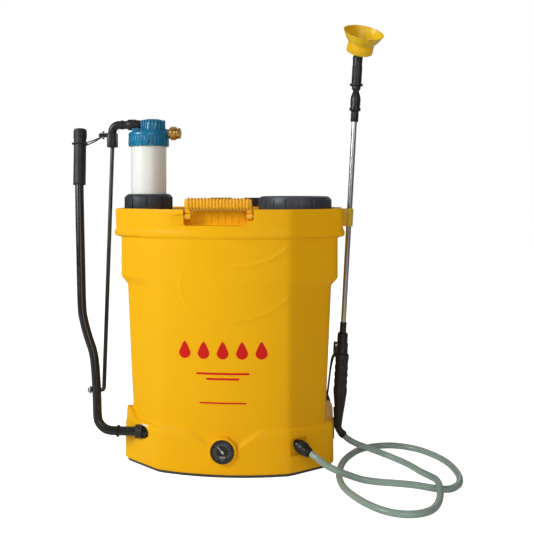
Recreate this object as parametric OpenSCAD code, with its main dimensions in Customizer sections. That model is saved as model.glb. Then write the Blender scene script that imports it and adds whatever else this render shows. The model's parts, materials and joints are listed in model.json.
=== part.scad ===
// Backpack sprayer: a 20 litre tank with a lever pump, an electric pump in the base, a lance and a harness.
// Millimetres, +Z up, +X to the right and +Y towards the wearer. The origin is on the floor, under the
// middle of the tank. Every sub-part is a module, and every position follows from the values below.

/* [Tank] */
// Width of the base at the foot
base_w = 376; // [340:1:400]
// Height of the base compartment, foot tray included
base_h = 76; // [72:1:95]
// Width of the tank body just above the base
waist_w = 356; // [330:1:370]
// Width of the tank body just under the shoulder step
chest_w = 370; // [345:1:385]
// Width of the tank body above the shoulder step
shoulder_w = 391; // [375:1:405]
// Width of the rim
rim_w = 410; // [400:1:430]
// Height of the rim's top edge above the floor
rim_top = 455; // [420:1:560]
// Height of the rim band
rim_h = 49; // [40:1:60]
// Depth of the tank, front to back
tank_d = 210; // [200:1:250]
// Width of the flat front between the corner facets
front_w = 228; // [210:1:250]
// How far the front bows out at its middle
front_bow = 15; // [6:1:20]
// Wall thickness of the tank and the base
wall = 4; // [3:0.5:5]

/* [Openings in the tank] */
// Outside diameter of the fill lid
lid_d = 133; // [120:1:140]
// Height of the fill lid
lid_h = 25; // [20:1:34]
// Bore of the fill neck
fill_bore = 108; // [90:1:110]
// Bore of the pump neck
pump_bore = 72; // [71:0.5:74]

/* [Hand pump] */
// Outside diameter of the pressure chamber
chamber_d = 65; // [60:0.5:65]
// Length of pressure chamber seen between the ring nut and the cap at the top of the stroke
chamber_show = 88; // [80:1:120]
// Outside diameter of the ring nut
ring_nut_d = 88; // [87:1:92]
// Height of the ring nut
ring_nut_h = 29; // [26:1:36]
// Diameter of the cap's flange
cap_d = 75; // [75:1:80]
// Outside diameter of the crosshead pipe
elbow_d = 15.4; // [13:0.1:17]

/* [Lever] */
// Outside diameter of the lever tube
lever_d = 16; // [13:0.5:17]
// Diameter of the grip
grip_d = 24; // [22:0.5:26]
// Length of the grip
grip_l = 104; // [80:1:130]
// Diameter of the link rod
link_d = 7.3; // [5:0.1:8]

/* [Carry handle] */
// Length of the handle bar
handle_l = 116; // [90:1:118]
// Height of the handle bar
handle_bar_h = 20; // [16:1:26]
// Diameter of the handle's hinge pins
handle_pin_d = 6; // [4:0.5:7]

/* [Lance] */
// Diameter of the lance tube
lance_d = 9.5; // [8:0.5:11]
// Length of the lance tube
lance_l = 400; // [300:5:460]
// Diameter of the shut-off valve's grip
valve_grip_d = 27; // [24:1:30]
// Diameter of the spray hood's brim
hood_d = 74; // [60:1:76]

/* [Hose and harness] */
// Outside diameter of the hose
hose_d = 11; // [10:0.5:12]
// Width of a shoulder pad
pad_w = 58; // [45:1:65]
// Thickness of a shoulder pad
pad_t = 13; // [9:1:15]
// Width of the webbing
web_w = 30; // [25:1:35]

/* [Hidden] */

$fn = 64;
eps = 0.01;
run_fit = 0.05;       // radial clearance of a pin or shaft that turns in its hole
slide_fit = 0.1;      // radial clearance of a gasket or seal that slides
free_gap = 0.5;       // gap between separate bodies that do not touch
hull_fn = 32;

// Tank outline
front_y = -tank_d * 0.533;
back_y = front_y + tank_d;
side_y = front_y + 67;
back_r = 26;
tray_h = 7;
deck_z = rim_top - 3;
rim_z = rim_top - rim_h;
step_z = rim_top - 136;
step_h = 13;
skirt_h = 8;
rim_out = 3;

// Pump
pump_x = -155;
nut_z = deck_z;
nut_top = nut_z + ring_nut_h;
cap_z = nut_top + chamber_show;
cap_flange_h = 28;
cap_top = cap_z + 51;
dome_x = pump_x + 8;
dome_r = 23.5;
barrel_id = chamber_d + 1;
barrel_od = barrel_id + 4;
barrel_z = nut_z - 115;
chamber_wall = 3;
piston_z = nut_z - 47;
elbow_x = -224.5;
elbow_z = cap_z + 41;
sleeve_top = cap_z + 26.5;
sleeve_bottom = cap_z - 0.8;
sleeve_x = 17.5;
sleeve_y = 24;
outlet_z = cap_z + 24.5;

// Lever and link
pivot_y = -70;
pivot_z = 61;
lever_lean = 8;       // the lever leans back this many degrees at rest
pin_r = 69.5;         // from the pivot to the link's pin, along the lever
pin_d = link_d;
link_x = elbow_x + 0.5;
link_top = sleeve_bottom + 14.5;

// Handle
handle_x = -8;
handle_y = front_y + 12;
pivot_h = rim_top - 12;
leg_w = 10;
leg_r = 6;

// Fill opening
fill_x = 118;
fill_y = -4;
neck_h = 14;
neck_wall = 4;

// Wand: a straight line that leans outwards
wand_x = 193.5;
wand_y = 10;
wand_lean = 3.1;
valve_z = 188;
grip_z = 51;

// Outlet on the right front facet
outlet_pos = [127, front_y + 26, 52];
outlet_turn = -40;    // heading of the outlet, from +X
outlet_dip = 18;      // degrees the outlet points down

// Hose route: centre line, hand chosen
HOSE = [[150, -106, 44], [160, -114, 40], [176, -121, 31], [194, -122, 23], [214, -119, 15],
    [236, -117, 8], [262, -118, 5.5], [292, -121, 5.5], [322, -126, 5.5], [350, -136, 5.5],
    [372, -137, 5.5], [389, -121, 5.5], [397, -98, 5.5], [398, -68, 5.5], [391, -30, 5.5],
    [376, 2, 5.5], [352, 31, 5.5], [326, 47, 5.5], [298, 53, 5.5], [266, 46, 5.5],
    [238, 27, 5.5], [219, -2, 5.5], [206, -34, 5.5], [199, -70, 5.5], [197, -106, 5.5],
    [203, -142, 5.5], [217, -173, 5.5], [236, -200, 5.5], [258, -221, 5.5], [280, -231, 5.5],
    [301, -232, 5.5], [321, -225, 5.5], [338, -209, 5.5], [350, -184, 8], [355, -158, 14.5],
    [354, -132, 17.2], [348, -104, 12], [337, -72, 6.5], [319, -38, 5.5], [297, -15, 7],
    [274, -3, 11.5], [252, 5, 16.5], [232, 9, 22], [215, 10, 30.5], [203.5, 10, 41]];

// ---------- helpers ----------

// Points of an arc
function arc(c, r, a0, a1, n) =
    [for (i = [0:n]) let (a = a0 + (a1 - a0) * i / n) [c[0] + r * cos(a), c[1] + r * sin(a)]];

// Outline of the tank at one height: w is the full width, t moves every side inwards
function tank_outline(w, t = 0) =
    let (hw = w / 2 - t, fw = front_w / 2 - 0.32 * t, yf = front_y + front_bow + t,
         ys = side_y + 0.515 * t, yb = back_y - t, r = max(back_r - t, 2),
         br = (fw * fw + front_bow * front_bow) / (2 * front_bow), ba = asin(fw / br))
    concat(arc([0, yf - front_bow + br], br, 270 - ba, 270 + ba, 8),
           [[hw, ys]],
           arc([hw - r, yb - r], r, 0, 90, 5),
           arc([-hw + r, yb - r], r, 90, 180, 5),
           [[-hw, ys]]);

module slab(w, t, z, h = eps) {
    translate([0, 0, z]) linear_extrude(h) polygon(tank_outline(w, t));
}

module blend_slabs(w0, t0, z0, w1, t1, z1) {
    hull() {
        slab(w0, t0, z0);
        slab(w1, t1, z1 - eps);
    }
}

// A straight rod between two points, with round ends
module rod(a, b, d) {
    v = b - a;
    l = norm(v);
    translate(a) rotate([0, acos(v[2] / l), atan2(v[1], v[0])]) cylinder(d = d, h = l);
}

module ring(od, id, h) {
    difference() {
        cylinder(d = od, h = h);
        translate([0, 0, -1]) cylinder(d = id, h = h + 2);
    }
}

module along_x() { rotate([0, 90, 0]) children(); }
module along_y() { rotate([-90, 0, 0]) children(); }
module at_pump() { translate([pump_x, 0, 0]) children(); }
module at_fill() { translate([fill_x, fill_y, 0]) children(); }
module at_wand() { translate([wand_x, wand_y, 0]) rotate([0, wand_lean, 0]) children(); }
module at_outlet() {
    translate(outlet_pos) rotate([0, 0, outlet_turn]) rotate([0, 90 + outlet_dip, 0]) children();
}

// A rounded box, corners round in plan only
module plan_box(size, r) {
    translate([size[0] / 2, size[1] / 2, 0]) linear_extrude(size[2]) square_round(size[0], size[1], r);
}
module square_round(a, b, r) {
    square([a - 2 * r, b], center = true);
    square([a, b - 2 * r], center = true);
    for (x = [-1, 1]) for (y = [-1, 1])
        translate([x * (a / 2 - r), y * (b / 2 - r)]) circle(r = r);
}

// Sweep of a polygon section along points: frames follow the route without twisting
function unit(v) = v / norm(v);
function tangent(p, i) = unit(p[min(i + 1, len(p) - 1)] - p[max(i - 1, 0)]);
function side_of(t) = let (s = cross(t, [0, 0, 1])) norm(s) < 0.2 ? [0, 1, 0] : unit(s);

// Catmull-Rom point between p[i] and p[i+1]
function spline(p, i, u) =
    let (a = p[max(i - 1, 0)], b = p[i], c = p[i + 1], d = p[min(i + 2, len(p) - 1)])
    0.5 * ((2 * b) + (c - a) * u + (2 * a - 5 * b + 4 * c - d) * u * u
        + (3 * b - a - 3 * c + d) * u * u * u);
function smooth_route(p, steps) =
    concat([for (i = [0:len(p) - 2]) for (k = [0:steps - 1]) spline(p, i, k / steps)], [p[len(p) - 1]]);

module sweep_round(p, d, sides) {
    n = len(p);
    pts = [for (i = [0:n - 1]) let (t = tangent(p, i), s = side_of(t), u = cross(s, t))
        for (k = [0:sides - 1]) p[i] + d / 2 * (cos(360 * k / sides) * s + sin(360 * k / sides) * u)];
    sides_faces = [for (i = [0:n - 2]) for (k = [0:sides - 1]) let (m = (k + 1) % sides)
        [i * sides + k, i * sides + m, (i + 1) * sides + m, (i + 1) * sides + k]];
    caps = [[for (k = [0:sides - 1]) sides - 1 - k], [for (k = [0:sides - 1]) (n - 1) * sides + k]];
    polyhedron(pts, concat(sides_faces, caps), convexity = 8);
}

// A flat band along points, wide along the given side vectors
module band(p, side, w, t) {
    n = len(p);
    pts = [for (i = [0:n - 1]) let (s = unit(side), f = unit(cross(tangent(p, i), s)))
        for (c = [[-1, -1], [1, -1], [1, 1], [-1, 1]]) p[i] + c[0] * w / 2 * s + c[1] * t / 2 * f];
    walls = [for (i = [0:n - 2]) for (k = [0:3]) let (m = (k + 1) % 4)
        [i * 4 + k, i * 4 + m, (i + 1) * 4 + m, (i + 1) * 4 + k]];
    polyhedron(pts, concat(walls, [[3, 2, 1, 0], [for (k = [0:3]) (n - 1) * 4 + k]]), convexity = 6);
}

// ---------- tank ----------

handle_x0 = handle_x - handle_l / 2;
handle_x1 = handle_x + handle_l / 2;
pocket_gap = 2.5;
pocket_floor = rim_top - 28;
pocket_back = front_y + 26;
pocket_x1 = handle_x1 - leg_w + 2;

// The hand pocket under the carry handle, with slots for the handle's legs
module handle_pocket() {
    translate([handle_x0 - pocket_gap, front_y - 20, pocket_floor])
        cube([pocket_x1 - handle_x0 + pocket_gap, pocket_back - front_y + 20, 60]);
    translate([pocket_x1 - 1, front_y - 20, pivot_h - leg_r - 1])
        cube([handle_x1 - pocket_x1 + 1 + pocket_gap, pocket_back - front_y + 20, 60]);
    translate([handle_x0 - 33, front_y - 20, pocket_floor]) cube([40, 28, 20]);
}

module tank_outside() {
    blend_slabs(base_w - 2, 1, base_h, waist_w, 4, base_h + skirt_h);
    blend_slabs(waist_w, 4, base_h + skirt_h, chest_w, 1, step_z);
    blend_slabs(chest_w, 1, step_z, shoulder_w, 0, step_z + step_h);
    slab(shoulder_w, 0, step_z + step_h, rim_z - step_z - step_h + 1);
    slab(rim_w, -rim_out, rim_z, rim_h);
}

module tank_inside() {
    floor_z = base_h + wall;
    blend_slabs(waist_w, 4 + wall, floor_z, chest_w, 1 + wall, step_z);
    blend_slabs(chest_w, 1 + wall, step_z, shoulder_w, wall, step_z + step_h);
    difference() {
        slab(shoulder_w, wall, step_z + step_h, deck_z - wall - step_z - step_h);
        translate([handle_x0 - 40, front_y - 20, pocket_floor - wall])
            cube([handle_l + 60, pocket_back + wall - front_y + 20, 80]);
    }
}

module tank_shell() {
    side_slot = [(rim_w - shoulder_w) / 2 - 4.5, 112, rim_h - 7];
    color("gold") difference() {
        union() {
            difference() {
                tank_outside();
                tank_inside();
                slab(shoulder_w - 2, 4, deck_z, 10);
            }
            at_fill() translate([0, 0, deck_z - wall]) cylinder(d = fill_bore + 2 * neck_wall, h = neck_h + wall);
            at_pump() translate([0, 0, deck_z - wall]) cylinder(d = pump_bore + 5, h = neck_h + wall);
        }
        at_fill() translate([0, 0, deck_z - 20]) cylinder(d = fill_bore, h = 60);
        at_pump() translate([0, 0, deck_z - 20]) cylinder(d = pump_bore, h = 60);
        handle_pocket();
        for (s = [-1, 1]) translate([s * (shoulder_w / 2 + 1 + side_slot[0] / 2), 20, rim_z + side_slot[2] / 2 - 1])
            cube([side_slot[0], side_slot[1], side_slot[2] + 2], center = true);
        handle_pin_holes();
        translate([sump_x, sump_y, base_h - 2]) cylinder(d = sump_d, h = wall + 4);
    }
}

sump_x = 120;
sump_y = 50;
sump_d = 14;

module handle_pin_holes() {
    translate([handle_x0 - pocket_gap - 7, handle_y, pivot_h]) along_x() cylinder(d = handle_pin_d, h = 10);
    translate([handle_x1 + pocket_gap - 3, handle_y, pivot_h]) along_x() cylinder(d = handle_pin_d, h = 10);
}

// ---------- base ----------

gauge_z = 45;
gauge_r = 24;

// Places of the base screws, against the inside of the walls
screw_in = wall + 4;
SCREWS = [for (s = [-1, 1]) for (p = [[base_w / 2 - screw_in, -30], [base_w / 2 - screw_in, 62],
    [62, front_y + screw_in + 4.8]]) [s * p[0], p[1]]];

module base_housing() {
    color("gold") difference() {
        union() {
            difference() {
                slab(base_w, 0, tray_h, base_h - tray_h);
                slab(base_w, wall, tray_h - 1, base_h - tray_h + 2);
            }
            intersection() {
                slab(base_w, 0.5, tray_h, base_h - tray_h);
                union() {
                    translate([-147, pivot_y - 26, pivot_z - 19]) cube([52, 40, base_h - pivot_z + 19]);
                    for (p = SCREWS) translate([p[0], p[1], tray_h]) cylinder(d = 12, h = 30);
                    translate([0, front_y - 10, gauge_z]) along_y() cylinder(r = gauge_r + 4, h = 26);
                    at_recess() translate([-3 - wall, -16 - wall, -wall]) cube([40, 32 + 2 * wall, 30 + 2 * wall]);
                }
            }
            translate([0, front_y - 3, gauge_z]) along_y() cylinder(r = gauge_r, h = 12);
        }
        translate([0, front_y - 20, gauge_z]) along_y() cylinder(r = gauge_r - 5, h = 60);
        translate([-200, pivot_y, pivot_z]) along_x() cylinder(d = bushing_od, h = 130);
        for (p = SCREWS) translate([p[0], p[1], tray_h - 1]) cylinder(d = 3.4, h = 22);
        outlet_recess();
        side_cutouts();
    }
}

module at_recess() { translate([outlet_pos[0], outlet_pos[1], 34]) rotate([0, 0, outlet_turn - 14]) children(); }

module outlet_recess() {
    at_recess() translate([-3, -16, 0]) cube([40, 32, 30]);
    at_outlet() translate([0, 0, -30]) cylinder(d = 14, h = 40);
}

module side_cutouts() {
    translate([base_w / 2 - 10, 18, 30]) cube([20, 27, 19]);
    translate([base_w / 2 - 10, 72, 39]) along_x() cylinder(d = 16, h = 20);
}

module base_tray() {
    color([0.17, 0.17, 0.18]) difference() {
        union() {
            slab(base_w, 2, 0, tray_h);
            slab(base_w, wall + 0.6, 0, tray_h + 5);
        }
        slab(base_w, wall + 4, 3, tray_h + 5);
        for (p = SCREWS) translate([p[0], p[1], -1]) {
            cylinder(d = 4, h = 30);
            cylinder(d = 9, h = 3.5);
        }
    }
    for (p = SCREWS) color([0.17, 0.17, 0.18]) translate([p[0], p[1], 2.5]) ring(13, 4, tray_h - 2.5);
}

module base_screws() {
    color("silver") for (p = SCREWS) translate([p[0], p[1], 0.4]) {
        cylinder(d = 8, h = 2.1);
        cylinder(d = 3.4, h = 24);
    }
}

// ---------- fill lid ----------

module fill_strainer() {
    rim = fill_bore + 2 * neck_wall - 1;
    cup = fill_bore - 6;
    top = deck_z + neck_h;
    color("dimgray") at_fill() {
        translate([0, 0, top]) ring(rim, cup - 4, 1.5);
        difference() {
            translate([0, 0, top - 70]) cylinder(d = cup, h = 70.5);
            translate([0, 0, top - 67.5]) cylinder(d = cup - 4, h = 80);
            for (i = [0:7]) rotate([0, 0, i * 45])
                translate([cup / 2, 0, top - 38]) cube([12, 12, 44], center = true);
        }
    }
}

lid_seat = deck_z + neck_h + 1.5;

module lid_gasket() {
    color("black") at_fill() translate([0, 0, lid_seat + 0.3]) ring(fill_bore + 2 * neck_wall, fill_bore - 8, 2.5);
}

module fill_lid() {
    inside = fill_bore + 2 * neck_wall + 1.2;
    z0 = deck_z + 0.4;
    color([0.24, 0.27, 0.31]) at_fill() difference() {
        union() {
            translate([0, 0, z0]) cylinder(d = lid_d, h = lid_h - 4.4, $fn = 96);
            translate([0, 0, z0 + lid_h - 4.4]) cylinder(d1 = lid_d, d2 = lid_d - 8, h = 4, $fn = 96);
        }
        translate([0, 0, z0 - 1]) cylinder(d = inside, h = lid_seat + 2.8 - z0 + 1);
        translate([0, 0, z0 - 1]) cylinder(d = fill_bore - 10, h = lid_h - 4);
    }
}

// ---------- carry handle ----------

module carry_handle() {
    bar_y = handle_y - 4;
    bar_z = rim_top;
    color("goldenrod") difference() {
        union() {
            translate([handle_x0, bar_y - 4, bar_z]) along_x() linear_extrude(handle_l)
                translate([-handle_bar_h / 2, 0]) square_round(handle_bar_h, 16, 5);
            for (x = [handle_x0, handle_x1 - leg_w]) translate([x, handle_y, pivot_h]) along_x() {
                cylinder(r = leg_r, h = leg_w);
                translate([-rim_top + pivot_h - 6, -leg_r, 0])
                    cube([rim_top - pivot_h + 6, 2 * leg_r, leg_w]);
            }
        }
        translate([handle_x0 - 1, handle_y, pivot_h]) along_x() cylinder(d = handle_pin_d + 2 * run_fit, h = handle_l + 2);
    }
}

module handle_pins() {
    color("silver") {
        translate([handle_x0 - pocket_gap - 7, handle_y, pivot_h]) along_x() cylinder(d = handle_pin_d, h = pocket_gap + 7 + leg_w);
        translate([handle_x1 - leg_w, handle_y, pivot_h]) along_x() cylinder(d = handle_pin_d, h = pocket_gap + 7 + leg_w);
    }
}

// ---------- hand pump ----------

module pump_ring_nut() {
    flange = 4;
    color([0.2, 0.22, 0.26]) at_pump() difference() {
        union() {
            translate([0, 0, nut_z + 0.4]) cylinder(d = ring_nut_d, h = ring_nut_h - 4.4);
            translate([0, 0, nut_top - 4]) cylinder(d1 = ring_nut_d, d2 = ring_nut_d - 8, h = 4);
        }
        translate([0, 0, nut_z - 1]) cylinder(d = pump_bore + 6, h = ring_nut_h - flange + 1);
        translate([0, 0, nut_z]) cylinder(d = chamber_d + 2 * free_gap, h = 60);
    }
}

module pump_barrel() {
    seat = deck_z + neck_h;
    color("whitesmoke") at_pump() difference() {
        union() {
            translate([0, 0, barrel_z]) cylinder(d = barrel_od, h = seat - barrel_z + 1);
            translate([0, 0, seat]) cylinder(d = pump_bore + 5, h = 3);
        }
        translate([0, 0, barrel_z + 5]) cylinder(d = barrel_id, h = 300);
        translate([0, 0, barrel_z - 1]) cylinder(d = 24, h = 10);
    }
}

module foot_valve() {
    color("dimgray") at_pump() difference() {
        union() {
            translate([0, 0, barrel_z - 16]) cylinder(d = 24, h = 21);
            translate([0, 0, barrel_z - 20]) cylinder(d = 34, h = 19.5);
        }
        translate([0, 0, barrel_z - 30]) cylinder(d = 10, h = 60);
        translate([0, 0, barrel_z - 8]) cylinder(d = 17, h = 30);
    }
}

module intake_ball() {
    color("darkorange") at_pump() translate([0, 0, barrel_z - 8 + 4.95]) sphere(d = 14);
}

module pump_chamber() {
    color([0.93, 0.93, 0.9]) at_pump() translate([0, 0, piston_z]) ring(chamber_d, chamber_d - 2 * chamber_wall, cap_z + 18 - piston_z);
}

module pump_cap() {
    lug = [5, 7, 12];
    outlet_bore = 6;
    color([0.1, 0.55, 0.72]) difference() {
        union() {
            at_pump() translate([0, 0, cap_z]) cylinder(d = cap_d, h = cap_flange_h);
            at_pump() for (i = [0:5]) rotate([0, 0, i * 60 + 36])
                translate([cap_d / 2 - 3.4, -lug[1] / 2, cap_z + 1]) cube(lug);
            translate([dome_x, 0, cap_top]) rotate_extrude()
                polygon(concat([[0, 0]], arc([dome_r - 8, -8], 8, 90, 0, 5), [[dome_r, -25], [0, -25]]));
            translate([pump_x - cap_d / 2 + 7, -6, cap_z + cap_flange_h - 2])
                cube([12, 12, elbow_z - cap_z - cap_flange_h - 7]);
            translate([dome_x + 12, 0, outlet_z]) along_x() cylinder(d = 15, h = pump_x + cap_d / 2 + 1 - dome_x - 12);
        }
        at_pump() translate([0, 0, cap_z - 1]) cylinder(d = chamber_d, h = 19);
        translate([dome_x - 40, 0, elbow_z]) along_x() cylinder(d = 8, h = 38);
        translate([dome_x, 0, cap_z + 10]) cylinder(d = 13, h = elbow_z - cap_z - 4);
        translate([dome_x + 4, 0, outlet_z]) along_x() cylinder(d = outlet_bore, h = 40);
    }
}

module piston_head() {
    color("dimgray") at_pump() difference() {
        union() {
            translate([0, 0, piston_z - 22]) cylinder(d = 44, h = 22);
            translate([0, 0, piston_z - 6]) cylinder(d = chamber_d, h = 6);
            translate([0, 0, piston_z - 26]) cylinder(d = chamber_d - 2, h = 5);
            translate([0, 0, piston_z - 1]) cylinder(d = chamber_d - 2 * chamber_wall, h = 9);
        }
        translate([0, 0, piston_z - 40]) cylinder(d = 9, h = 60);
        translate([0, 0, piston_z - 14]) cylinder(d = 16, h = 40);
    }
}

module cup_seal() {
    color("black") at_pump() translate([0, 0, piston_z - 21]) ring(barrel_id - 2 * slide_fit, 44, 14);
}

module delivery_ball() {
    color("darkorange") at_pump() translate([0, 0, piston_z - 14 + 4.75]) sphere(d = 13);
}

module dip_tube() {
    color("white") at_pump() translate([20, 0, piston_z + 14]) ring(10, 6, cap_z + cap_flange_h - 4 - piston_z - 14);
}

module brass_outlet() {
    x0 = pump_x + cap_d / 2 + 1;
    color([0.72, 0.5, 0.2]) translate([x0, 0, outlet_z]) along_x() difference() {
        union() {
            cylinder(d = 19, h = 3);
            translate([0, 0, 2]) cylinder(d = 25.5, h = 13);
            translate([0, 0, 14]) cylinder(d = 20, h = 8);
        }
        translate([0, 0, -1]) cylinder(d = 8, h = 20);
    }
}

module crosshead_elbow() {
    bend_r = 13;
    x_in = dome_x - dome_r + 1.5;
    color([0.08, 0.08, 0.08]) difference() {
        union() {
            translate([elbow_x + bend_r, 0, elbow_z]) along_x() cylinder(d = elbow_d, h = x_in - elbow_x - bend_r);
            translate([elbow_x + bend_r, 0, elbow_z - bend_r]) rotate([90, 0, 0])
                rotate([0, 0, 90]) rotate_extrude(angle = 90) translate([bend_r, 0]) circle(d = elbow_d);
            translate([elbow_x, 0, sleeve_top - 1]) cylinder(d = elbow_d, h = elbow_z - bend_r - sleeve_top + 1);
            translate([elbow_x, 0, sleeve_bottom]) linear_extrude(sleeve_top - sleeve_bottom) square_round(sleeve_x, sleeve_y, 3);
        }
        translate([elbow_x, 0, sleeve_bottom - 1]) linear_extrude(27) square([link_d + 4, sleeve_y - 5], center = true);
        translate([elbow_x - 8, 0, elbow_z]) along_x() cylinder(d = 8, h = 80);
    }
}

module elbow_nut() {
    color([0.1, 0.09, 0.1]) translate([dome_x - dome_r - 24.5, 0, elbow_z]) along_x() difference() {
        cylinder(d = 20.5, h = 23.5, $fn = 12);
        translate([0, 0, -1]) cylinder(d = elbow_d, h = 30);
    }
}

peg_x = elbow_x - sleeve_x / 2;
peg_z = cap_z + 22;
peg_d = 8.6;

module latch_peg() {
    color([0.08, 0.08, 0.08]) translate([peg_x + 1, 0, peg_z]) rotate([0, -90, 0]) {
        cylinder(d = peg_d, h = 14);
        translate([0, 0, 14]) sphere(d = peg_d);
    }
}

// ---------- lever ----------

// Centre line of the lever, in the plane of its own lean: [x, height above the pivot]
LEVER = [[-198, 0], [-207, 0.5], [-217, 3.5], [-226.5, 12], [-231, 24], [-234, 60], [-239.5, 110], [-245, 137],
    [-255, 163], [-263.5, 189], [-269, 216], [-275, 294], [-285, 440], [-288.6, 545]];
shaft_end = -104;
shaft_collar = 191;

module leaned() { translate([0, pivot_y, pivot_z]) rotate([-lever_lean, 0, 0]) children(); }
function leaned_at(p) = [p[0], pivot_y + p[1] * sin(lever_lean), pivot_z + p[1] * cos(lever_lean)];
function lever_point(p) = [p[0], 0, p[1]];
pin_x = -234.7;

lever_top = len(LEVER) - 1;
grip_axis = unit(lever_point(LEVER[lever_top]) - lever_point(LEVER[lever_top - 1]));
grip_end = lever_point(LEVER[lever_top]);
grip_start = grip_end - grip_axis * grip_l;

module pump_lever() {
    color([0.1, 0.1, 0.1]) difference() {
        leaned() union() {
            translate([LEVER[0][0] - 6, 0, 0]) along_x() cylinder(d = lever_d, h = shaft_end - LEVER[0][0] + 6);
            sweep_round(smooth_route([for (p = LEVER) lever_point(p)], 3), lever_d - 0.2, 18);
            translate([-shaft_collar - 3, 0, 0]) along_x() cylinder(d = lever_d + 5, h = 3);
        }
        leaned() translate([pin_x - 20, 0, pin_r]) along_x() cylinder(d = pin_d + 2 * run_fit, h = 40);
    }
}

module lever_grip() {
    color([0.09, 0.09, 0.1]) leaned() difference() {
        rod(grip_start, grip_end + 3 * grip_axis, grip_d);
        rod(grip_start - 5 * grip_axis, grip_end + 0.01 * grip_axis, lever_d);
    }
}

bushing_od = lever_d + 8;

module shaft_bushings() {
    color([0.05, 0.05, 0.05]) for (x = [-160, -120]) translate([x, pivot_y, pivot_z]) along_x() ring(bushing_od, lever_d + 2 * run_fit, 12);
}

// Link: straight rod from the lever's pin to the crosshead
pin_y = pivot_y + pin_r * sin(lever_lean);
pin_z = pivot_z + pin_r * cos(lever_lean);

module pump_link() {
    foot = [link_x + 2.5, pin_y, pin_z];
    color([0.09, 0.09, 0.09]) {
        rod(foot, [link_x, 0, link_top], link_d);
        translate([link_x, 0, link_top]) sphere(d = link_d + 1.2);
        translate(foot) sphere(d = link_d + 1.2);
        rod(foot, [pin_x - lever_d / 2 - 8, pin_y, pin_z], pin_d);
    }
}

module link_clip() {
    color("gray") translate([pin_x - lever_d / 2 - 4.6, pin_y, pin_z]) along_x() ring(13, pin_d, 2.4);
}

// Ring round the grip, with two strands that meet in a hook open towards the front
latch_h = 519;        // height of the ring above the pivot, along the lever
module latch_loop() {
    wire = 2.6;
    mid = leaned_at([LEVER[lever_top][0] + 0.9, latch_h]);
    hook = [peg_x - 9, 0, peg_z];
    hook_in = peg_d / 2 + 1.2;
    ring_r = grip_d / 2 + wire / 2 + 0.6;
    tab = hook + [0, hook_in + 1.6, 0];
    color([0.06, 0.06, 0.06]) {
        translate(mid) rotate([-lever_lean, 0, 0]) rotate_extrude() translate([ring_r, 0]) circle(d = wire);
        for (s = [-1, 1]) let (y = s * ring_r * sin(35))
            rod(mid + [ring_r * cos(35), y * cos(lever_lean), -y * sin(lever_lean)], tab + [0.4, 0, 0], wire - 0.5);
        translate(hook - [1.5, 0, 0]) along_x() linear_extrude(3) difference() {
            circle(r = hook_in + 2.6);
            circle(r = hook_in);
            translate([-20, -40]) square([40, 38]);
        }
    }
}

// ---------- electric pump in the base ----------

module battery_pack() {
    color([0.2, 0.25, 0.35]) {
        translate([-110, -34, tray_h + 1]) plan_box([150, 94, 60], 4);
        for (x = [-96, 24]) translate([x, 40, tray_h + 60]) cube([6, 1.2, 5.5]);
    }
}

motor_pos = [62, 38, 36];

module pump_motor() {
    color("silver") translate(motor_pos) along_x() {
        cylinder(d = 38, h = 54);
        translate([0, 0, -4]) cylinder(d = 14, h = 5);
    }
}

module diaphragm_head() {
    color("black") translate([motor_pos[0] + 54, motor_pos[1] - 25, motor_pos[2] - 25]) {
        cube([36, 50, 50]);
        translate([18, 0, 32]) rotate([90, 0, 0]) cylinder(d = 12, h = 10);
    }
}

module suction_tube() {
    z1 = motor_pos[2] + 25;
    color("lightgray") {
        translate([sump_x, sump_y, z1]) cylinder(d = 10, h = base_h - z1 + 1);
        translate([sump_x, sump_y, base_h - 5]) cylinder(d = sump_d + 6, h = 5);
        translate([sump_x, sump_y, base_h - 1]) cylinder(d = sump_d, h = wall + 3);
    }
}

DELIVERY = [[134, 3, 43], [134, -20, 46], [126, -40, 53], [118, -60, 56]];

module delivery_tube() {
    inside = outlet_pos + [-cos(outlet_turn) * 26, -sin(outlet_turn) * 26, 8.5];
    color([0.75, 0.8, 0.75]) sweep_round(smooth_route(concat(DELIVERY, [inside]), 3), 9, 12);
}

module gauge_bezel() {
    color("dimgray") translate([0, front_y - 5, gauge_z]) along_y() ring(2 * gauge_r - 8, 2 * gauge_r - 12, 4);
}

module gauge_dial() {
    color([0.1, 0.1, 0.12]) translate([0, front_y - 2.5, gauge_z]) along_y() {
        cylinder(r = gauge_r - 6.2, h = 2);
        translate([0, 0, 1]) cylinder(r = gauge_r - 8, h = 22);
    }
}

module gauge_needle() {
    color("white") translate([0, front_y - 3.4, gauge_z]) rotate([0, 40, 0]) {
        translate([-0.6, 0, -3]) cube([1.2, 0.6, 15]);
        along_y() cylinder(d = 4, h = 0.9);
    }
}

module gauge_lens() {
    color([0.8, 0.9, 0.95, 0.4]) translate([0, front_y - 4.8, gauge_z]) along_y() cylinder(r = gauge_r - 6.2, h = 1.2);
}

rocker_pos = [base_w / 2 - 1, 31.5, 39.5];

module switch_housing() {
    color("black") translate([base_w / 2 - 14, 18, 30]) difference() {
        union() {
            cube([14, 27, 19]);
            translate([14, -2, -2]) cube([2, 31, 23]);
        }
        translate([3, 3, 3]) cube([20, 21, 13]);
    }
}

module switch_rocker() {
    tilt = 8;
    color("red") translate(rocker_pos) rotate([0, 0, tilt]) difference() {
        union() {
            translate([-4, -9.5, -6]) cube([5.5, 19, 12]);
            translate([-2, 0, -6]) cylinder(d = 7, h = 12);
        }
        translate([22, 0, -10]) cylinder(r = 20, h = 30);
    }
}

module charge_socket() {
    color("black") translate([base_w / 2 - 12, 72, 39]) along_x() difference() {
        union() {
            cylinder(d = 16, h = 12);
            translate([0, 0, 12]) cylinder(d = 21, h = 2.5);
        }
        translate([0, 0, 3]) cylinder(d = 8, h = 20);
    }
    color("silver") translate([base_w / 2 - 10, 72, 39]) along_x() cylinder(d = 2, h = 10);
}

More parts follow.
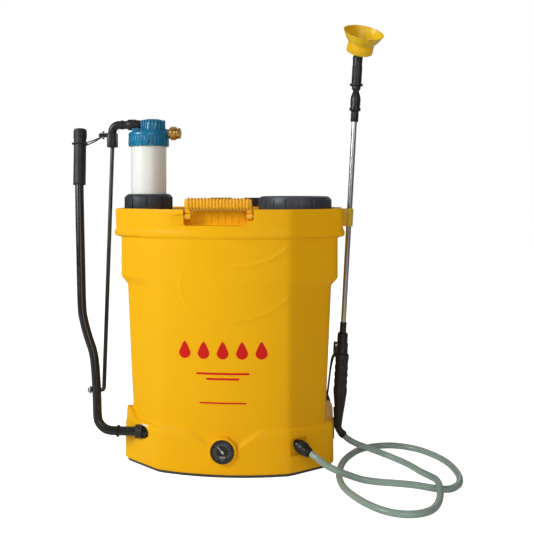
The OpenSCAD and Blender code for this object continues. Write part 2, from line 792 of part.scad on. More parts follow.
// ---------- outlet and hose ----------

module outlet_spigot() {
    color([0.12, 0.12, 0.13]) at_outlet() difference() {
        union() {
            translate([0, 0, -26]) cylinder(d = 13.9, h = 30);
            translate([0, 0, 2]) cylinder(d = 21, h = 3);
            translate([0, 0, 4]) cylinder(d = 6.9, h = 16);
        }
        translate([0, 0, -30]) cylinder(d = 4, h = 80);
    }
}

module outlet_nut() {
    color([0.1, 0.1, 0.1]) at_outlet() difference() {
        union() {
            translate([0, 0, 5]) cylinder(d = 23, h = 12, $fn = 12);
            translate([0, 0, 17]) cylinder(d1 = 21, d2 = hose_d + 3, h = 11);
        }
        translate([0, 0, 4]) cylinder(d = 7, h = 30);
        translate([0, 0, 19]) cylinder(d = hose_d, h = 30);
    }
}

module hose_run() {
    color([0.62, 0.72, 0.68]) sweep_round(HOSE, hose_d, 10);
}

// ---------- shut-off valve and lance ----------

trigger_x = -11;
trigger_z = valve_z + 16;
stem_z = trigger_z - 11;
stem_d = 4;

module valve_body() {
    color([0.1, 0.1, 0.1]) at_wand() difference() {
        union() {
            translate([0, 0, valve_z]) cylinder(d = 22, h = 20);
            translate([0, 0, valve_z + 20]) cylinder(d = 19.4, h = 18, $fn = 12);
            translate([trigger_x - 5, -7, valve_z]) cube([14, 14, 20]);
        }
        translate([0, 0, valve_z + 22]) cylinder(d = lance_d, h = 40);
        translate([0, 0, valve_z - 1]) cylinder(d = 3, h = 40);
        translate([trigger_x - 8, -4.5, valve_z - 1]) cube([13.4, 9, 22]);
        translate([trigger_x, 0, trigger_z]) along_y() cylinder(d = 4, h = 40, center = true);
        translate([-10, 0, stem_z]) along_x() cylinder(d = stem_d + 2 * run_fit, h = 8);
    }
}

module valve_grip() {
    grip_r = valve_grip_d / 2;
    taper_l = 68;
    color([0.07, 0.07, 0.07]) at_wand() difference() {
        union() {
            translate([0, 0, grip_z + taper_l]) cylinder(r = grip_r, h = valve_z - grip_z - taper_l);
            translate([0, 0, grip_z]) cylinder(r1 = 6.5, r2 = grip_r, h = taper_l);
        }
        translate([0, 0, grip_z + 8]) cylinder(d = 6, h = 200);
        translate([-20, -6.5, grip_z + 36]) cube([15, 13, valve_z - grip_z]);
    }
    color([0.07, 0.07, 0.07]) hull() {
        at_wand() translate([0, 0, grip_z + 1.4]) cylinder(d = 11.6, h = 2, $fn = hull_fn);
        translate(HOSE[len(HOSE) - 1]) rotate([0, 132, 0]) cylinder(d = hose_d + 1.6, h = 1, $fn = hull_fn);
    }
}

// Squeeze bar: hinged on the pin, with its free end standing off the grip
module trigger_lever() {
    bar_top = valve_z - 5;
    bar_l = 84;
    stand_off = 3;
    color([0.13, 0.13, 0.13]) at_wand() difference() {
        union() {
            translate([trigger_x - 3.6, -3.8, valve_z - 6]) cube([6.2, 7.6, 26]);
            translate([trigger_x - 3.6, -5.6, bar_top]) rotate([0, stand_off, 0])
                translate([-4, 0, -bar_l]) cube([4, 11.2, bar_l]);
            translate([trigger_x - 7.6, -3.8, bar_top - 6]) cube([6, 7.6, 8]);
        }
        translate([trigger_x, 0, trigger_z]) along_y() cylinder(d = 4 + 2 * run_fit, h = 40, center = true);
        translate([-9, -10, stem_z - 5]) cube([10, 20, 9.5]);
    }
}

module trigger_pin() {
    color("silver") at_wand() translate([trigger_x, -7, trigger_z]) along_y() cylinder(d = 4, h = 14);
}

module valve_stem() {
    color("silver") at_wand() translate([-8.6, 0, stem_z]) along_x() cylinder(d = stem_d, h = 3.6);
}

module valve_spring() {
    color("silver") at_wand() translate([-5, 0, stem_z]) along_x() ring(stem_d - 0.4, 2.4, 1.7);
}

module lance_nut() {
    color([0.15, 0.15, 0.16]) at_wand() translate([0, 0, valve_z + 38]) ring(12.4, lance_d, 20);
}

lance_z = valve_z + 22;

module lance_tube() {
    color("lightsteelblue") at_wand() translate([0, 0, lance_z]) ring(lance_d, lance_d - 2, lance_l + 22);
}

module lance_clip() {
    z = rim_z + 16;
    x_in = rim_w / 2 - wand_x - z * sin(wand_lean);
    color([0.85, 0.75, 0.2]) at_wand() translate([0, 0, z]) difference() {
        union() {
            cylinder(d = lance_d + 5, h = 33);
            translate([x_in - 1.2, -6, 0]) cube([-x_in, 12, 33]);
        }
        translate([0, 0, -1]) cylinder(d = lance_d, h = 40);
    }
}

nozzle_z = lance_z + lance_l + 22 - 18;

// Radius at each height above the collar: a turned nozzle body with its rings
module nozzle_neck() {
    color([0.09, 0.09, 0.09]) at_wand() translate([0, 0, nozzle_z]) difference() {
        union() {
            cylinder(d = 13.6, h = 22);
            translate([0, 0, 19]) cylinder(d1 = 14, d2 = 21, h = 3);
            translate([0, 0, 22]) cylinder(d = 21, h = 4);
            translate([0, 0, 26]) cylinder(d1 = 17, d2 = 18.5, h = 12);
            translate([0, 0, 38]) cylinder(d = 18.5, h = 6);
            translate([0, 0, 44]) cylinder(d1 = 18.5, d2 = 10.7, h = 10);
            translate([0, 0, 53]) cylinder(d = 10.7, h = 10);
            translate([0, 0, 60]) cylinder(d = 16.5, h = 6);
            translate([0, 0, 65]) cylinder(d = 24, h = 6);
            translate([0, 0, 71]) cylinder(d = 18, h = neck_l - 71);
            translate([0, 0, neck_l]) sphere(d = 19.6);
            translate([0, 0, neck_l]) rotate(hood_turn) cylinder(d = 17.8, h = 11);
        }
        translate([0, 0, -1]) cylinder(d = lance_d + 2 * run_fit, h = 19.2);
        cylinder(d = 4, h = neck_l + 1);
        translate([0, 0, neck_l]) rotate(hood_turn) cylinder(d = 4, h = 20);
    }
}

// Flared hood on a ribbed cup, turned forwards and outwards on the bent end of the neck
neck_l = 118;
hood_turn = [31, 10, 0];
module at_hood() {
    at_wand() translate([0, 0, nozzle_z + neck_l]) rotate(hood_turn) translate([0, 0, 9.5]) children();
}

module spray_hood() {
    wall_t = 2;
    color([0.98, 0.8, 0.1]) at_hood() rotate_extrude() polygon([
        [9.2, 0], [19, 0], [23, 3], [24, 8], [24, 18], [26, 22], [hood_d / 2 - 5, 32], [hood_d / 2, 40],
        [hood_d / 2 - wall_t, 40], [hood_d / 2 - 5 - wall_t, 33.5], [24, 23.5], [22, 19], [22, 6], [9.2, 3]]);
}

module nozzle_tip() {
    color([0.75, 0.55, 0.2]) at_hood() difference() {
        union() {
            translate([0, 0, 1.6]) cylinder(d = 18.2, h = 7);
            translate([0, 0, 8]) cylinder(d1 = 16, d2 = 10, h = 8);
        }
        translate([0, 0, -2]) cylinder(d = 2, h = 30);
    }
}

// ---------- harness ----------

PAD = [[34, 106, 462], [36, 116, 458], [40, 128, 446], [46, 137, 424], [54, 142, 394],
    [64, 142, 358], [74, 138, 320], [84, 132, 284], [92, 126, 252]];
WEB = [[92, 126, 250], [102, 122, 218], [116, 119, 180], [134, 118, 140], [152, 119, 104],
    [166, 118, 74], [172, 112, 52], [170, 104, 40]];
pad_side = unit([1, -0.1, 0.25]);
web_side = unit([0.94, 0, 0.35]);

module both_sides() {
    children();
    mirror([1, 0, 0]) children();
}

module shoulder_pads() {
    color([0.1, 0.1, 0.1]) both_sides() band(PAD, pad_side, pad_w - 8, pad_t);
}

module harness_webbing() {
    color([0.06, 0.06, 0.06]) both_sides() {
        band([for (i = [0:len(WEB) - 1]) WEB[i]], web_side, web_w, 2.4);
    }
}

module harness_buckles() {
    mid = (WEB[1] + WEB[2]) / 2;
    color([0.12, 0.12, 0.12]) both_sides()
        band([mid + 22 * unit(WEB[1] - mid), mid, mid + 22 * unit(WEB[2] - mid)], web_side, web_w + 10, 7);
}

module strap_anchors() {
    color([0.1, 0.1, 0.1]) both_sides() {
        translate([34, back_y - 1, rim_top - 30]) {
            translate([-22, 0, 0]) cube([44, 5, 40]);
            translate([-22, 0, 34]) cube([44, 12, 14]);
        }
        translate([150, back_y - 1, 26]) cube([34, 9, 22]);
    }
}

tank_shell();
base_housing();
base_tray();
base_screws();
fill_strainer();
lid_gasket();
fill_lid();
carry_handle();
handle_pins();
pump_ring_nut();
pump_barrel();
foot_valve();
intake_ball();
pump_chamber();
pump_cap();
piston_head();
cup_seal();
delivery_ball();
dip_tube();
brass_outlet();
crosshead_elbow();
elbow_nut();
latch_peg();
latch_loop();
pump_link();
link_clip();
pump_lever();
lever_grip();
shaft_bushings();
battery_pack();
pump_motor();
diaphragm_head();
suction_tube();
delivery_tube();
gauge_bezel();
gauge_dial();
gauge_needle();
gauge_lens();
switch_housing();
switch_rocker();
charge_socket();
outlet_spigot();
outlet_nut();
hose_run();
valve_body();
valve_grip();
trigger_lever();
trigger_pin();
valve_stem();
valve_spring();
lance_nut();
lance_tube();
lance_clip();
nozzle_neck();
spray_hood();
nozzle_tip();
shoulder_pads();
harness_webbing();
harness_buckles();
strap_anchors();
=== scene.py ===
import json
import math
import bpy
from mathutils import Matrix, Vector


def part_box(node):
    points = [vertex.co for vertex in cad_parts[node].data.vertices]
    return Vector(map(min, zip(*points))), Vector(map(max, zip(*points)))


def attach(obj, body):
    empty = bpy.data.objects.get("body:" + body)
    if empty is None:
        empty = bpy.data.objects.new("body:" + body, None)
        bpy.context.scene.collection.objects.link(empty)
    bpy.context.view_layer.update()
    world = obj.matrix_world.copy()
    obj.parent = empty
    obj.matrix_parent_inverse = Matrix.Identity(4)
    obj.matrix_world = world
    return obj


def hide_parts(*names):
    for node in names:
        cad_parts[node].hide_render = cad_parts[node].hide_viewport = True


bl_info = {
    "name": "Backpack Sprayer",
    "version": (1, 0, 0),
    "blender": (4, 5, 0),
    "location": "View3D > Sidebar > Sprayer",
    "description": "Builds the visible pieces of a backpack sprayer on its packed frame",
    "category": "Add Mesh",
}

import bmesh
import bpy
import numpy as np
from mathutils import Matrix, Vector

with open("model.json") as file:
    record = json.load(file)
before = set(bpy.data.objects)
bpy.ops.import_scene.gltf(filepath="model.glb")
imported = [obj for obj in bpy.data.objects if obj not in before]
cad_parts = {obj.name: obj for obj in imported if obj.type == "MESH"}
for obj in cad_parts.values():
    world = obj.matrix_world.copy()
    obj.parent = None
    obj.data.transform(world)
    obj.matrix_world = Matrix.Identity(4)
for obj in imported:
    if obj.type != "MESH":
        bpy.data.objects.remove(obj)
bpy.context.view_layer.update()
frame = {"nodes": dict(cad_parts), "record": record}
MM = 0.001
SLOTS = {s["node"]: s["material_slot"] for s in frame["record"]["subparts"]}
BODY = {n: b for b, nodes in frame["record"]["behaviour"]["bodies"].items() for n in nodes}


def span(node):
    """Lowest and highest corner of a CAD node, in millimetres."""
    low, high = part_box(node)
    return Vector(low) / MM, Vector(high) / MM


# ---------- mesh tools, all in millimetres ----------

FINISHES = {}


class Shape:
    """Collects parts of one piece, then makes its object."""

    def __init__(self):
        self.verts, self.faces, self.mats = [], [], []

    def add(self, verts, faces, place=None, mat=0):
        base = len(self.verts)
        for v in verts:
            self.verts.append(place @ Vector(v) if place else Vector(v))
        self.faces += [[base + i for i in f] for f in faces]
        self.mats += [mat] * len(faces)
        return self

    def loft(self, rings, place=None, mat=0, caps=True, loop=False):
        """Skin over closed rings of equal length. loop joins the last ring to the first."""
        n = len(rings[0])
        verts = [v for r in rings for v in r]
        faces = []
        for i in range(len(rings) - (0 if loop else 1)):
            a, b = i * n, ((i + 1) % len(rings)) * n
            faces += [[a + k, a + (k + 1) % n, b + (k + 1) % n, b + k] for k in range(n)]
        if caps and not loop:
            faces += [list(range(n - 1, -1, -1)), [(len(rings) - 1) * n + k for k in range(n)]]
        return self.add(verts, faces, place, mat)

    def turned(self, profile, place=None, sides=64, mat=0, loop=False, ribs=None):
        """Revolves (radius, height) points. ribs(angle, index) scales the radius."""
        rings = []
        for i, (r, z) in enumerate(profile):
            ring = []
            for k in range(sides):
                a = 2 * math.pi * k / sides
                q = r * (ribs(a, i) if ribs else 1)
                ring.append((q * math.cos(a), q * math.sin(a), z))
            rings.append(ring)
        return self.loft(rings, place, mat, loop=loop)

    def tube(self, path, radius, sides=20, mat=0):
        """Sweeps a circle along points. radius may be one value or one for each point."""
        pts = [Vector(p) for p in path]
        radii = radius if isinstance(radius, (list, tuple)) else [radius] * len(pts)
        ahead = (pts[1] - pts[0]).normalized()
        side = ahead.orthogonal().normalized()
        rings = []
        for i, p in enumerate(pts):
            t = (pts[min(i + 1, len(pts) - 1)] - pts[max(i - 1, 0)]).normalized()
            side = (side - side.dot(t) * t).normalized()
            up = t.cross(side)
            rings.append([p + radii[i] * (math.cos(a) * side + math.sin(a) * up)
                          for a in (2 * math.pi * k / sides for k in range(sides))])
        return self.loft(rings, None, mat)

    def block(self, size, at=(0, 0, 0), soft=1.0, place=None, mat=0, steps=2):
        """A box with rounded edges, centred on a point."""
        bm = bmesh.new()
        bmesh.ops.create_cube(bm, size=1.0)
        for v in bm.verts:
            v.co = Vector([v.co[i] * size[i] + at[i] for i in range(3)])
        if soft:
            bmesh.ops.bevel(bm, geom=bm.edges[:], offset=soft, segments=steps, affect="EDGES", profile=0.5)
        bm.verts.index_update()
        self.add([v.co.copy() for v in bm.verts], [[v.index for v in f.verts] for f in bm.faces], place, mat)
        bm.free()
        return self

    def take(self, obj):
        """Adds another object's mesh, then removes that object."""
        self.add([v.co / MM for v in obj.data.vertices], [list(p.vertices) for p in obj.data.polygons])
        bpy.data.objects.remove(obj)
        return self

    def make(self, name, *materials, angle=32, merge=False):
        """The finished mesh object. angle is where an edge turns sharp, in degrees."""
        mesh = bpy.data.meshes.new(name)
        mesh.from_pydata([v * MM for v in self.verts], [], self.faces)
        for m in materials:
            mesh.materials.append(m)
        mesh.polygons.foreach_set("material_index", self.mats)
        obj = bpy.data.objects.new(name, mesh)
        bpy.context.scene.collection.objects.link(obj)
        soften(obj, angle, merge)
        return obj


def soften(obj, angle=32, merge=False):
    """Outward faces, smooth shading and sharp edges past an angle."""
    bm = bmesh.new()
    bm.from_mesh(obj.data)
    if merge:
        bmesh.ops.remove_doubles(bm, verts=bm.verts[:], dist=0.00002)
    bmesh.ops.recalc_face_normals(bm, faces=bm.faces[:])
    limit = math.radians(angle)
    for f in bm.faces:
        f.smooth = True
    for e in bm.edges:
        e.smooth = len(e.link_faces) == 2 and e.calc_face_angle(0) < limit
    bm.to_mesh(obj.data)
    bm.free()
    obj.data.update()


def bake_modifiers(obj):
    """Turns the evaluated object into a plain mesh with no modifiers."""
    graph = bpy.context.evaluated_depsgraph_get()
    graph.update()
    mesh = bpy.data.meshes.new_from_object(obj.evaluated_get(graph))
    obj.modifiers.clear()
    obj.data = mesh
    return obj


def carve(obj, cutters, how="DIFFERENCE", angle=32):
    """Cuts or joins closed shapes, then removes them."""
    for i, c in enumerate(cutters):
        m = obj.modifiers.new(f"cut{i}", "BOOLEAN")
        m.operation, m.solver, m.object = how, "MANIFOLD", c
    bake_modifiers(obj)
    for c in cutters:
        bpy.data.objects.remove(c)
    soften(obj, angle)
    return obj


def at(x=0, y=0, z=0, turn=(0, 0, 0)):
    """A placing matrix: turn in degrees about X, then Y, then Z, then move."""
    rx, ry, rz = (Matrix.Rotation(math.radians(t), 4, k) for t, k in zip(turn, "XYZ"))
    return Matrix.Translation((x, y, z)) @ rz @ ry @ rx


def superellipse(sides, power):
    """Points round a unit square with round corners. A lower power is squarer."""
    turns = (2 * math.pi * k / sides for k in range(sides))
    return [(math.copysign(abs(math.cos(a)) ** power, math.cos(a)),
             math.copysign(abs(math.sin(a)) ** power, math.sin(a))) for a in turns]


def middle(node_name):
    """Centre of a CAD node's box, in millimetres."""
    low, high = span(node_name)
    return (low + high) / 2


def ease(t):
    """Smooth step from 0 to 1."""
    t = max(0.0, min(1.0, t))
    return t * t * (3 - 2 * t)


def spline(points, steps):
    """Catmull-Rom curve through points."""
    p = [Vector(q) for q in points]
    out = []
    for i in range(len(p) - 1):
        a, b, c, d = p[max(i - 1, 0)], p[i], p[i + 1], p[min(i + 2, len(p) - 1)]
        for k in range(steps):
            u = k / steps
            out.append(0.5 * (2 * b + (c - a) * u + (2 * a - 5 * b + 4 * c - d) * u * u
                              + (3 * b - a - 3 * c + d) * u ** 3))
    return out + [p[-1]]


def place_piece(obj, *nodes, body=None, slot=None):
    """Rides a finished piece on its CAD body, in place of the named nodes."""
    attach(obj, body or BODY[nodes[0]])
    if nodes:
        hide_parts(*nodes)
    return obj


# ---------- shader groups ----------

def new_group(name, inputs, outputs):
    """An empty shader group with named sockets."""
    tree = bpy.data.node_groups.new(name, "ShaderNodeTree")
    for label, kind, value in inputs:
        s = tree.interface.new_socket(name=label, in_out="INPUT", socket_type=kind)
        s.default_value = value
    for label, kind in outputs:
        tree.interface.new_socket(name=label, in_out="OUTPUT", socket_type=kind)
    return tree, tree.nodes.new("NodeGroupInput"), tree.nodes.new("NodeGroupOutput")


def node(tree, kind, values=None, links=None, **props):
    """Adds a node, sets its properties and socket values and links sockets into it."""
    n = tree.nodes.new(kind if "Node" in kind else "ShaderNode" + kind)
    for k, v in props.items():
        setattr(n, k, v)
    for k, v in (values or {}).items():
        n.inputs[k].default_value = v
    for k, s in (links or {}).items():
        tree.links.new(s, n.inputs[k])
    return n


def math_node(tree, op, *values, clamp=False):
    """A math node on numbers or sockets."""
    n = tree.nodes.new("ShaderNodeMath")
    n.operation, n.use_clamp = op, clamp
    for i, v in enumerate(values):
        if isinstance(v, (int, float)):
            n.inputs[i].default_value = v
        else:
            tree.links.new(v, n.inputs[i])
    return n.outputs[0]


def mix_colour(tree, fac, a, b):
    """A colour mix on colours or sockets."""
    n = node(tree, "Mix", data_type="RGBA", blend_type="MIX")
    for i, v in ((0, fac), (6, a), (7, b)):
        if isinstance(v, (int, float, tuple)):
            n.inputs[i].default_value = v
        else:
            tree.links.new(v, n.inputs[i])
    return n.outputs[2]


def ramp(tree, value, low, high):
    """Zero below low, one above high, straight between."""
    n = node(tree, "MapRange", {"From Min": low, "From Max": high}, {"Value": value}, clamp=True)
    return n.outputs["Result"]


def between(tree, fac, low, high):
    """The value that lies at fac between two sockets."""
    return math_node(tree, "MULTIPLY_ADD", fac, math_node(tree, "SUBTRACT", high, low), low)


OUTS = [("Colour", "NodeSocketColor"), ("Roughness", "NodeSocketFloat"), ("Height", "NodeSocketFloat")]


def moulded_group():
    """Moulded plastic: cloudy colour, fine grain, rubbed patches, scratches and dust."""
    tree, gi, go = new_group("moulded_surface", [
        ("Colour", "NodeSocketColor", (0.5, 0.5, 0.5, 1)),
        ("Deep Colour", "NodeSocketColor", (0.4, 0.4, 0.4, 1)),
        ("Cloud Scale", "NodeSocketFloat", 9.0), ("Grain Scale", "NodeSocketFloat", 900.0),
        ("Grain Depth", "NodeSocketFloat", 0.4), ("Low Roughness", "NodeSocketFloat", 0.3),
        ("High Roughness", "NodeSocketFloat", 0.45), ("Scratches", "NodeSocketFloat", 0.25),
        ("Dust", "NodeSocketFloat", 0.1), ("Dust Colour", "NodeSocketColor", (0.6, 0.56, 0.5, 1))], OUTS)
    i = gi.outputs
    where = node(tree, "TexCoord").outputs["Object"]
    cloud = node(tree, "TexNoise", {"Detail": 4.0, "Roughness": 0.6},
                 {"Vector": where, "Scale": i["Cloud Scale"]})
    grain = node(tree, "TexNoise", {"Detail": 3.0, "Roughness": 0.55},
                 {"Vector": where, "Scale": i["Grain Scale"]})
    waves = node(tree, "TexNoise", {"Scale": 26.0, "Detail": 2.0}, {"Vector": where})
    tilt = node(tree, "Mapping", {"Rotation": (0.5, 0.35, 0.8), "Scale": (420.0, 14.0, 60.0)},
                {"Vector": where})
    lines = node(tree, "TexNoise", {"Scale": 1.0, "Detail": 2.0}, {"Vector": tilt.outputs[0]})
    scratch = math_node(tree, "MULTIPLY", ramp(tree, lines.outputs[0], 0.66, 0.72), i["Scratches"])
    scratch = math_node(tree, "MULTIPLY", scratch, ramp(tree, cloud.outputs[0], 0.45, 0.62))
    up = node(tree, "SeparateXYZ", links={0: node(tree, "NewGeometry").outputs["Normal"]}).outputs[2]
    dust = math_node(tree, "MULTIPLY", ramp(tree, up, 0.2, 1.0), ramp(tree, waves.outputs[0], 0.35, 0.75))
    dust = math_node(tree, "MULTIPLY", dust, i["Dust"])
    c = mix_colour(tree, ramp(tree, cloud.outputs[0], 0.3, 0.7), i["Colour"], i["Deep Colour"])
    c = mix_colour(tree, math_node(tree, "MULTIPLY", scratch, 0.35), c, (0.9, 0.88, 0.82, 1))
    tree.links.new(mix_colour(tree, dust, c, i["Dust Colour"]), go.inputs["Colour"])
    rough = between(tree, ramp(tree, cloud.outputs[0], 0.35, 0.65), i["Low Roughness"], i["High Roughness"])
    rough = math_node(tree, "ADD", rough, math_node(tree, "MULTIPLY", dust, 0.4), clamp=True)
    rough = math_node(tree, "ADD", rough, math_node(tree, "MULTIPLY", scratch, 0.15), clamp=True)
    tree.links.new(rough, go.inputs["Roughness"])
    h = math_node(tree, "MULTIPLY", grain.outputs[0], i["Grain Depth"])
    h = math_node(tree, "ADD", h, math_node(tree, "MULTIPLY", waves.outputs[0], 0.06))
    tree.links.new(math_node(tree, "SUBTRACT", h, math_node(tree, "MULTIPLY", scratch, 0.6)),
                   go.inputs["Height"])
    return tree


def metal_group():
    """Turned or drawn metal: fine lines along one direction, with stains."""
    tree, gi, go = new_group("drawn_metal", [
        ("Colour", "NodeSocketColor", (0.6, 0.6, 0.6, 1)), ("Stain", "NodeSocketColor", (0.3, 0.3, 0.3, 1)),
        ("Stretch", "NodeSocketVector", (900.0, 900.0, 20.0)), ("Stain Amount", "NodeSocketFloat", 0.3),
        ("Low Roughness", "NodeSocketFloat", 0.2), ("High Roughness", "NodeSocketFloat", 0.35)], OUTS)
    i = gi.outputs
    where = node(tree, "TexCoord").outputs["Object"]
    drawn = node(tree, "Mapping", None, {"Vector": where, "Scale": i["Stretch"]})
    lines = node(tree, "TexNoise", {"Scale": 1.0, "Detail": 3.0}, {"Vector": drawn.outputs[0]})
    stain = node(tree, "TexNoise", {"Scale": 60.0, "Detail": 5.0, "Roughness": 0.65}, {"Vector": where})
    spots = math_node(tree, "MULTIPLY", ramp(tree, stain.outputs[0], 0.48, 0.75), i["Stain Amount"])
    tree.links.new(mix_colour(tree, spots, i["Colour"], i["Stain"]), go.inputs["Colour"])
    rough = between(tree, lines.outputs[0], i["Low Roughness"], i["High Roughness"])
    rough = math_node(tree, "ADD", rough, math_node(tree, "MULTIPLY", spots, 0.3), clamp=True)
    tree.links.new(rough, go.inputs["Roughness"])
    tree.links.new(lines.outputs[0], go.inputs["Height"])
    return tree


def woven_group():
    """Woven nylon: crossing threads by the piece's own UV map, with lint and wear."""
    tree, gi, go = new_group("woven_nylon", [
        ("Colour", "NodeSocketColor", (0.03, 0.03, 0.03, 1)),
        ("Thread Colour", "NodeSocketColor", (0.08, 0.08, 0.08, 1)),
        ("Threads Across", "NodeSocketFloat", 20.0), ("Threads Along", "NodeSocketFloat", 20.0),
        ("Lint", "NodeSocketFloat", 0.2), ("Low Roughness", "NodeSocketFloat", 0.75),
        ("High Roughness", "NodeSocketFloat", 0.95)], OUTS)
    i = gi.outputs
    coord = node(tree, "TexCoord")
    uv = node(tree, "SeparateXYZ", links={0: coord.outputs["UV"]}).outputs
    turn = 2 * math.pi
    waves = []
    for axis, label in enumerate(("Threads Across", "Threads Along")):
        phase = math_node(tree, "MULTIPLY", math_node(tree, "MULTIPLY", uv[axis], i[label]), turn)
        waves.append(math_node(tree, "SINE", phase, 0))
    cross = math_node(tree, "MULTIPLY", *waves)
    thread = math_node(tree, "MULTIPLY_ADD", cross, 0.5, 0.5)
    fuzz = node(tree, "TexNoise", {"Scale": 700.0, "Detail": 3.0}, {"Vector": coord.outputs["Object"]})
    patch = node(tree, "TexNoise", {"Scale": 18.0, "Detail": 4.0}, {"Vector": coord.outputs["Object"]})
    c = mix_colour(tree, math_node(tree, "MULTIPLY", thread, 0.7), i["Colour"], i["Thread Colour"])
    lint = math_node(tree, "MULTIPLY", ramp(tree, fuzz.outputs[0], 0.62, 0.72), i["Lint"])
    tree.links.new(mix_colour(tree, lint, c, (0.35, 0.34, 0.32, 1)), go.inputs["Colour"])
    rough = between(tree, patch.outputs[0], i["Low Roughness"], i["High Roughness"])
    tree.links.new(rough, go.inputs["Roughness"])
    h = math_node(tree, "ADD", thread, math_node(tree, "MULTIPLY", fuzz.outputs[0], 0.4))
    tree.links.new(h, go.inputs["Height"])
    return tree


GROUPS = {}


def colour4(c):
    """A colour with its alpha."""
    return (*c, 1.0) if len(c) == 3 else tuple(c)


def finish(name, group, values, bump=0.15, bump_size=0.0006, **sockets):
    """A material: one shader group feeding a Principled BSDF, constants on its own sockets."""
    m = bpy.data.materials.new(name)
    m.use_nodes = True
    tree = m.node_tree
    bsdf = tree.nodes["Principled BSDF"]
    g = tree.nodes.new("ShaderNodeGroup")
    g.node_tree = GROUPS[group]
    for k, v in values.items():
        g.inputs[k].default_value = colour4(v) if k.endswith(("Colour", "Stain")) else v
    tree.links.new(g.outputs["Colour"], bsdf.inputs["Base Color"])
    tree.links.new(g.outputs["Roughness"], bsdf.inputs["Roughness"])
    b = node(tree, "Bump", {"Strength": bump, "Distance": bump_size}, {"Height": g.outputs["Height"]})
    tree.links.new(b.outputs["Normal"], bsdf.inputs["Normal"])
    for k, v in sockets.items():
        bsdf.inputs[k.replace("_", " ")].default_value = v
    m.diffuse_color = colour4(values["Colour"])
    FINISHES[name] = m
    return m


